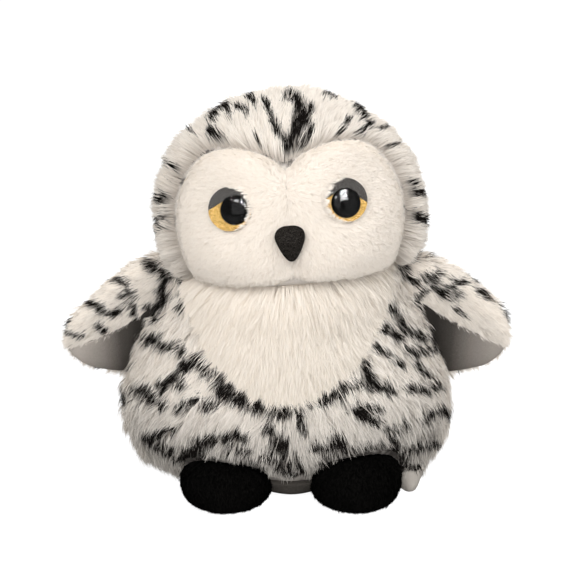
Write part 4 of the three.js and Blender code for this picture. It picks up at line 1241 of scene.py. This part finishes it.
for side, name in SIDES:
    place = eye_frame(side)
    pupil_place = place @ Matrix.Translation(PUPIL_SHIFTS[side])
    pupil_top = FLANGE_FRONT + PUPIL_HEIGHT
    stem = spun([
        (0, STEM_END), (STEM_RADIUS, STEM_END), (STEM_RADIUS, FLANGE_BACK), (EYE_RADIUS, FLANGE_BACK),
        (EYE_RADIUS, FLANGE_FRONT), (0, FLANGE_FRONT),
    ], ROUND_STEPS)
    stem.transform(place)
    pupil = spun([
        (0, FLANGE_FRONT), (PUPIL_RADIUS, FLANGE_FRONT), *dome(PUPIL_RADIUS, IRIS_FRONT, pupil_top, 12),
    ], ROUND_STEPS)
    pupil.transform(pupil_place)
    pupil_mesh = bpy.data.meshes.new("pupil")
    pupil.to_mesh(pupil_mesh)
    stem.from_mesh(pupil_mesh)
    pupil.free()
    bpy.data.meshes.remove(pupil_mesh)
    stem = piece_from(
        stem, f"pupil_and_stem_{name}", black_plastic, "torso", "black_plastic", f"eye_stem_{name}",
    )
    stem.data.set_sharp_from_angle(angle=MOULDED_CORNER)

    outer, inner = EYE_RADIUS - IRIS_RIM, PUPIL_RADIUS + PRESS_GAP
    ring = spun([
        (inner, IRIS_BACK), (outer, IRIS_BACK), (outer, IRIS_FRONT), (inner, IRIS_FRONT), (inner, IRIS_BACK),
    ], ROUND_STEPS)
    for vert in ring.verts:
        if vert.co.xy.length < (inner + outer) / 2:
            vert.co += PUPIL_SHIFTS[side]
    ring.transform(place)
    dark_top_turn = place.to_3x3() @ Matrix.Rotation(DARK_TOP_TILT[side], 3, "Z")
    dark_top_middle = place @ Vector((0, DARK_TOP_LEVEL, 0))
    glitter = iris_finish(f"iris_glitter_{name}", dark_top_middle, dark_top_turn.col[1], dark_top_turn.col[0])
    iris = piece_from(ring, f"glitter_ring_{name}", glitter, "torso", "iris_glitter", f"eye_iris_{name}")
    iris.data.set_sharp_from_angle(angle=MOULDED_CORNER)

    glass = dome(EYE_RADIUS, LENS_BACK + LENS_RIM, LENS_BACK + LENS_HEIGHT, 20)
    lens = spun([(0, LENS_BACK), (EYE_RADIUS, LENS_BACK), *glass], ROUND_STEPS)
    lens.transform(place)
    lens = piece_from(lens, f"lens_{name}", clear_plastic, "torso", "clear_plastic", f"eye_lens_{name}")
    lens.data.set_sharp_from_angle(angle=LENS_CORNER)
    lens.visible_shadow = lens.visible_diffuse = False

# The beak: two small panels of charcoal felt, stuffed and sewn flat to the face under the eyes. It is
# a rounded drop with its point down.
BEAK_HALF_WIDTH = 0.00775
BEAK_REACH = 0.0095
BEAK_HEIGHT = 0.0185
BEAK_TIP_HEIGHT = 0.015
BEAK_BACK = 0.0015
BEAK_SEAM_PLACE = 0.0093
BEAK_INSET = 0.0002
BEAK_CORNER = math.radians(60)
BEAK_OUTLINE_SHARES = [
    (0, 0), (0.3, 0.07), (0.62, 0.27), (0.9, 0.54), (1, 0.72), (0.84, 0.89), (0.45, 0.985), (0, 1),
]

beak_felt = Finish("beak_felt", Roughness=0.85, Specular_IOR_Level=0.0)
fibres = beak_felt.ramp(beak_felt.speckle(1300, detail=3, roughness=0.7), [(0.36, 0.0), (0.64, 1.0)])
flecks = beak_felt.ramp(beak_felt.speckle(2300, detail=1), [(0.56, 0.0), (0.66, 1.0)])
from_seam = beak_felt.across() - BEAK_SEAM_PLACE
seam = beak_felt.ramp(from_seam * 900 + 0.5, [(0.2, 0.0), (0.5, 1.0), (0.8, 0.0)])
felt = beak_felt.blend((0.007, 0.006, 0.0055), (0.058, 0.051, 0.045), fibres)
felt = beak_felt.blend(felt, (0.17, 0.155, 0.14), flecks * 0.6)
beak_felt.set("Base Color", beak_felt.blend(felt, (0.3, 0.28, 0.25), seam * 0.5))
beak_felt.bump(fibres + flecks, 0.0006)
beak_form = stuffed_form(
    BEAK_OUTLINE_SHARES, BEAK_HALF_WIDTH, BEAK_REACH, BEAK_HEIGHT, BEAK_INSET, rings=36, sides=64,
)
cut_off(beak_form, (0, BEAK_BACK, 0), (0, 1, 0))
bmesh.ops.holes_fill(beak_form, edges=beak_form.edges, sides=0)
beak_level = np.array([BEAK_TIP_HEIGHT + BEAK_HEIGHT / 2])
beak_seat = head_front(np.zeros(1), beak_level, FACE_SEAT)[0][0][1]
beak_form.transform(head_to_owl @ Matrix.Translation((0, beak_seat, BEAK_TIP_HEIGHT)))
beak = piece_from(beak_form, "beak", beak_felt, "torso", "beak_cloth", "beak_cover", "beak_stuffing")
beak.data.set_sharp_from_angle(angle=BEAK_CORNER)

# The wings: flat stuffed mittens sewn on at the shoulders. Fur covers the back and rolls over the
# front edge, and a smooth velour lining covers the hollow underside.
WING_LENGTH = 0.072
WING_HALF_CHORD = 0.0345
WING_HALF_THICKNESS = 0.0095
WING_DROOP = math.radians(32)
WING_PITCH = math.radians(22)
WING_ROOT_INSET = 0.01
WING_ROOT_DROP = 0.02
WING_SET_BACK = 0.002
WING_PAD_INSET = 0.0048
LINING_INSET = 0.0018
LINING_SEAM_SHARE = -0.2
LINING_THICKNESS = 0.0012
WING_BEND_START = 0.006
WING_BEND_END = 0.03
SEAM_GAP = 0.0004
CLOTH_DEPTH = 0.0045
MIDDLE_SAG = {-1: 0.0048, 1: 0.0}
LOW_EDGE_SAG = {-1: 0.005, 1: 0.013}
LOW_EDGE_PLACE = 0.66
LOW_EDGE_SPREAD = 0.22
SLIDE_STEP = 0.0005
SLIDE_REACH = 0.08
SLIDE_MERGE = 5e-5
WING_STRANDS = 25000
WING_PILE = {
    "length": 0.011, "thick": 0.0004, "lift": 0.85, "tuft": 24, "spread": 0.24, "pull": 0.24, "stray": 0.0007,
    "droop": 0.1,
}
WING_OUTLINE_SHARES = [
    (0, -0.22), (0.5, -0.19), (0.8, -0.08), (0.95, 0.08), (1, 0.28), (0.93, 0.5), (0.8, 0.7), (0.62, 0.86),
    (0.36, 0.97), (0, 1),
]
WING_CUT = (WING_OUTLINE_SHARES, WING_HALF_CHORD, WING_HALF_THICKNESS, WING_LENGTH)


def within_form(places, cut, gap):
    """Whether places lie inside a stuffed form grown by a gap."""
    wide, deep, up = outline_rings(*cut, -gap, FINE_RINGS)
    x, y, z = places.T
    across = np.maximum(np.interp(z, up, wide, 0, 0), 1e-6)
    ahead = np.maximum(np.interp(z, up, deep, 0, 0), 1e-6)
    return (x / across) ** 2 + (y / ahead) ** 2 < 1


def touching_body(places, gap=SEAM_GAP):
    """Whether places lie inside the furred body."""
    x, y, z = places.T
    drawn_back = np.where(y < 0, belly_tuck(z), 1)
    upright = np.stack([x, y / drawn_back, z + SEAT_SINK], axis=1)
    return within_form(upright, BODY_CUT, gap)


def touching_cloth(places, gap=-CLOTH_DEPTH):
    """Whether places lie within the body or head, about as deep as the cloth under their fur."""
    return touching_body(places, gap) | within_form(in_head(places), HEAD_CUT, gap)


def seated(form, way, touching):
    """Slides what lies inside a neighbour outwards, so that the form's end is seated on its surface."""
    places, way = np.array([vert.co for vert in form.verts]), np.array(way)
    inside = touching(places)
    high = np.where(inside, SLIDE_REACH, 0.0)
    for far in np.arange(SLIDE_STEP, SLIDE_REACH, SLIDE_STEP):
        still = inside & touching(places + far * way)
        high = np.where(inside & ~still & (high == SLIDE_REACH), far, high)
    low = np.maximum(high - SLIDE_STEP, 0)
    for halving in range(8):
        middle = (low + high) / 2
        still = touching(places + middle[:, None] * way)
        low, high = np.where(still, middle, low), np.where(still, high, middle)
    high = np.where(inside, high, 0)
    for vert, place in zip(form.verts, places + high[:, None] * way):
        vert.co = place
    bmesh.ops.remove_doubles(form, verts=form.verts, dist=SLIDE_MERGE)
    return form


wing_root_width = body_reach(NECK_HEIGHT - WING_ROOT_DROP, WING_ROOT_INSET)[0]


def wing_frame(side):
    """A wing's own frame: along its chord, through it, and out along its span."""
    span = Vector((side * math.cos(WING_DROOP), 0, -math.sin(WING_DROOP)))
    trailing = Vector((0, math.sin(WING_PITCH), -math.cos(WING_PITCH)))
    chord = (trailing - trailing.dot(span) * span).normalized()
    turned = Matrix((chord, span.cross(chord), span)).transposed().to_4x4()
    root = Vector((side * wing_root_width, WING_SET_BACK, NECK_HEIGHT - WING_ROOT_DROP))
    return Matrix.Translation(root) @ turned


def sag(local, side):
    """How far the wing sags along its chord, in its middle and along its lower edge."""
    x, y, z = local.T
    run = np.clip(z / WING_LENGTH, 0, 1)
    low = np.exp(-(((run - LOW_EDGE_PLACE) / LOW_EDGE_SPREAD) ** 2)) * np.clip(x / WING_HALF_CHORD, 0, 1)
    drop = MIDDLE_SAG[side] * np.sin(np.pi * run) + LOW_EDGE_SAG[side] * low
    return np.stack([drop, 0 * drop, 0 * drop], axis=1)


def sagged(form, side):
    local = np.array([vert.co for vert in form.verts])
    for vert, place in zip(form.verts, local + sag(local, side)):
        vert.co = place
    return form


def in_wing(places, side):
    """Places in a wing's own frame, as it was cut before it sagged."""
    local = in_frame(places, wing_frame(side))
    return local - sag(local, side)


def wing_fur_covers(side):
    def covers(places):
        x, y, z = in_wing(places, side).T
        lined = (-side * y > 0) & (x > LINING_SEAM_SHARE * WING_HALF_CHORD)
        return ~lined & ~touching_cloth(places, 0.001 - CLOTH_DEPTH)
    return covers


def lining_share(places, side):
    """1 by the lining's seam on the wing's hollow face, 0 away from it."""
    x, y, z = in_wing(places, side).T
    return eased(x / WING_HALF_CHORD, LINING_SEAM_SHARE - 0.3, LINING_SEAM_SHARE) * (-side * y > 0)


def wing_comb(side):
    """Outwards, fanning from the armpit, and along the lining's seam beside it."""
    def comb(places):
        local = in_wing(places, side)
        across = (local[:, 0] + 0.012) * (1 - 0.9 * lining_share(places, side))
        way = np.stack([across, 0 * across, local[:, 2] + 0.045], axis=1)
        return way @ np.array(wing_frame(side).to_3x3(), float).T
    return comb


def wing_trim(side):
    """The fur is clipped at the tip, along both edges and beside the lining."""
    def trim(places):
        x, y, z = in_wing(places, side).T
        far = eased(z, 0.6 * WING_LENGTH, 0.9 * WING_LENGTH)
        low = eased(x, 0.4 * WING_HALF_CHORD, 0.8 * WING_HALF_CHORD)
        top = 0.5 * (side < 0) * eased(-x, 0.4 * WING_HALF_CHORD, 0.9 * WING_HALF_CHORD)
        return 1 - 0.5 * np.maximum(np.maximum(far, low), np.maximum(top, lining_share(places, side)))
    return trim


wing_velour = Finish("wing_velour", Roughness=0.9, Specular_IOR_Level=0.0)
down = wing_velour.speckle(1500, detail=4, roughness=0.65)
from_side = wing_velour.across()
outwards = from_side.maths("ABSOLUTE", from_side, 0.0) * 10 + 0.06 * down
# Painted shade: the lining is painted darker towards the body, where the wing's hollow lies in shade
shade = wing_velour.ramp(outwards - 0.3, [(0.54, 0.05), (0.63, 0.11), (0.74, 0.38), (0.86, 0.62)])
# Painted shade: the right wing's lining is painted darker than the left's
painted_right_shade = wing_velour.ramp(from_side * 5 + 0.5, [(0.0, 1.0), (1.0, 0.74)])
wing_velour.set("Base Color", wing_velour.scaled((1.0, 0.905, 0.82), shade * painted_right_shade * (0.82 + 0.3 * down)))
wing_velour.bump(down, 0.0003)
wing_dye = mottle(WING_PATCHES_PX + SHOULDER_PATCHES_PX, (48, 48, 48), 0.3, reach=0.06)
for side, name in SIDES:
    place = wing_frame(side)
    span = place.to_3x3() @ Vector((0, 0, 1))
    bend_start = place.translation + WING_BEND_START * span
    bend_end = place.translation + WING_BEND_END * span

    pad_form = stuffed_form(*WING_CUT, WING_PAD_INSET, rings=60, sides=96)
    sagged(pad_form, side).transform(place)
    wing_pad = piece_from(
        seated(pad_form, span, touching_cloth), f"wing_pad_{name}", backing_cloth, None, "mottled_fur",
        f"wing_stuffing_{name}",
    )
    dye_cloth(wing_pad, wing_dye, seed=61 + side)
    fur = grow_fur(
        f"wing_pile_{name}", wing_pad, WING_STRANDS, wing_fur_covers(side), wing_comb(side), WING_PILE,
        wing_dye, seed=65 + side, trim=wing_trim(side),
    )
    in_place(fur, mottled_fur, None, "mottled_fur", f"wing_fur_{name}")

    lining_form = stuffed_form(*WING_CUT, LINING_INSET, rings=60, sides=96)
    cut_off(lining_form, (0, 0, 0), (0, side, 0))
    cut_off(lining_form, (LINING_SEAM_SHARE * WING_HALF_CHORD, 0, 0), (-1, 0, 0))
    sagged(lining_form, side).transform(place)
    lining = piece_from(
        seated(lining_form, span, touching_cloth), f"wing_velour_{name}", wing_velour, None, "wing_lining",
        f"wing_lining_{name}",
    )
    walled(lining, LINING_THICKNESS)
    for piece in (wing_pad, fur, lining):
        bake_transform(piece)

# The feet: two round buns of black plush with a flat sole, sewn in under the front of the belly so
# that only their front halves show.
FOOT_PAD_INSET = 0.0024
SOLE_INSET = 0.0008
SOLE_SEAM_HEIGHT = 0.0042
SOLE_THICKNESS = 0.001
FOOT_NAP_LOW = 0.0012
FOOT_NAP_BACK = -0.0495
FOOT_STRANDS = 15000
FOOT_PILE = {
    "length": 0.0032, "thick": 0.0004, "lift": 1.0, "tuft": 10, "spread": 0.5, "pull": 0.3, "stray": 0.0003,
    "droop": 0.2,
}
FOOT_OUTLINE_SHARES = [
    (0, 0), (0.45, 0.001), (0.72, 0.012), (0.92, 0.13), (1, 0.36), (0.96, 0.6), (0.78, 0.84),
    (0.45, 0.97), (0, 1),
]


def foot_form(side, inset):
    """A foot's bun, flat underneath, with what would lie inside the belly drawn out to its surface."""
    x, middle = foot_place(side)
    heel = belly_front(x, BASE_SEAM_HEIGHT) - SEAM_GAP
    form = stuffed_form(
        FOOT_OUTLINE_SHARES, FOOT_HALF_WIDTH, FOOT_HALF_LENGTH, FOOT_HEIGHTS[side], inset, rings=56, sides=96,
    )
    form.transform(Matrix.Translation((x, middle, -SEAT_SINK)))
    for vert in form.verts:
        vert.co.z = max(vert.co.z, inset / 4)
    return seated(form, (0, -1, 0), lambda places: touching_body(places) | (places[:, 1] > heel))


def foot_covers(places):
    """All of the foot that isn't underneath or against the belly."""
    x, y, z = places.T
    return (z > FOOT_NAP_LOW) & ~touching_body(places, FOOT_NAP_LOW) & (y < FOOT_NAP_BACK)


def foot_comb(places):
    """Forwards and down."""
    return np.tile([0.0, -0.6, -1.0], (len(places), 1))


def plain_nap(places, outs, draw):
    """Mostly black, with a few paler strand ends."""
    return draw.uniform(0.4, 1, len(outs))


foot_plush = Finish("foot_plush", Roughness=0.95, Specular_IOR_Level=0.0)
plush = foot_plush.speckle(2200, detail=3)
foot_plush.set("Base Color", foot_plush.blend((0.0012, 0.0012, 0.0012), (0.003, 0.0029, 0.0028), plush))
foot_plush.bump(plush, 0.0004)
foot_nap = fur_finish("foot_nap", (0.0008, 0.0008, 0.0008), (0.011, 0.0104, 0.0098), (0.001, 0.001, 0.0009))
for side, name in SIDES:
    foot_pad = piece_from(
        foot_form(side, FOOT_PAD_INSET), f"foot_pad_{name}", foot_plush, f"foot_{name}", "black_plush",
        f"foot_stuffing_{name}",
    )
    nap = grow_fur(
        f"foot_nap_{name}", foot_pad, FOOT_STRANDS, foot_covers, foot_comb, FOOT_PILE, plain_nap,
        seed=71 + side, joints=2,
    )
    in_place(nap, foot_nap, f"foot_{name}", "black_plush", f"foot_top_{name}")
    sole_form = foot_form(side, SOLE_INSET)
    cut_off(sole_form, (0, 0, SOLE_SEAM_HEIGHT), (0, 0, 1))
    heel_edge = max(vert.co.y for vert in sole_form.verts) - 2 * SOLE_THICKNESS
    for vert in sole_form.verts:
        if vert.co.y > heel_edge:
            vert.co.z = max(vert.co.z, SOLE_THICKNESS)
    sole = piece_from(
        sole_form, f"sole_{name}", foot_plush, f"foot_{name}", "black_plush", f"foot_sole_{name}",
    )
    walled(sole, SOLE_THICKNESS)

# The tail: a short flat flap behind the seat, furred above and below, combed along its length.
TAIL_HALF_WIDTH = 0.026
TAIL_HALF_THICKNESS = 0.007
TAIL_LENGTH = 0.058
TAIL_ROOT_HEIGHT = 0.048
TAIL_ROOT_INSET = 0.014
TAIL_DROOP = math.radians(54)
TAIL_PAD_INSET = 0.0042
TAIL_STRANDS = 9000
TAIL_PILE = {
    "length": 0.011, "thick": 0.00042, "lift": 0.75, "tuft": 26, "spread": 0.18, "pull": 0.4, "stray": 0.0006,
    "droop": 0.1,
}
TAIL_COMB_FAN = 0.35
TAIL_OUTLINE_SHARES = [
    (0, 0), (0.5, 0.04), (0.72, 0.16), (0.88, 0.4), (1, 0.68), (0.92, 0.86), (0.6, 0.97), (0, 1),
]

tail_along = Vector((0, math.cos(TAIL_DROOP), -math.sin(TAIL_DROOP)))
tail_across = Vector((1, 0, 0))
tail_root_depth = body_reach(TAIL_ROOT_HEIGHT, 0)[1]
tail_hinge = Vector((0, tail_root_depth + SEAM_GAP, TAIL_ROOT_HEIGHT))
tail_turn = Matrix((tail_across, tail_along.cross(tail_across), tail_along)).transposed().to_4x4()
tail_frame = Matrix.Translation(tail_hinge - TAIL_ROOT_INSET * tail_along) @ tail_turn


def tail_covers(upper):
    def covers(places):
        under = in_frame(places, tail_frame)[:, 1] > 0
        return (under != upper) & ~touching_body(places, SEAM_GAP + 0.0006)
    return covers


def tail_comb(places):
    """Along the tail, fanning out to its sides."""
    fan = in_frame(places, tail_frame)[:, 0] / TAIL_HALF_WIDTH
    return np.array(tail_along) + TAIL_COMB_FAN * fan[:, None] * np.array(tail_across)


tail_form = stuffed_form(
    TAIL_OUTLINE_SHARES, TAIL_HALF_WIDTH, TAIL_HALF_THICKNESS, TAIL_LENGTH, TAIL_PAD_INSET,
    rings=56, sides=80,
)
tail_form.transform(tail_frame)
tail_pad = piece_from(
    seated(tail_form, tail_along, touching_body), "tail_pad", backing_cloth, None, "mottled_fur",
)
tail_dye = mottle([], (60, 60, 80), 0.24)
dye_cloth(tail_pad, tail_dye, seed=80)
tail_pieces = [tail_pad]
for upper, name in ((True, "tail_top"), (False, "tail_underside")):
    fur = grow_fur(
        f"{name}_pile", tail_pad, TAIL_STRANDS, tail_covers(upper), tail_comb, TAIL_PILE, tail_dye,
        seed=81 + upper,
    )
    tail_pieces.append(in_place(fur, mottled_fur, None, "mottled_fur", name))
for piece in tail_pieces:
    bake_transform(piece)

# The lock washers: pale rings pushed on to the eye stems behind the face.
washer_plastic = Finish("washer_plastic", Roughness=0.45)
moulding = washer_plastic.speckle(700)
washer_plastic.set("Base Color", washer_plastic.blend((0.72, 0.7, 0.64), (0.8, 0.78, 0.72), moulding))
for name in ("left", "right"):
    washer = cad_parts[f"eye_washer_{name}"]
    washer.data.materials.clear()
    washer.data.materials.append(washer_plastic.material)
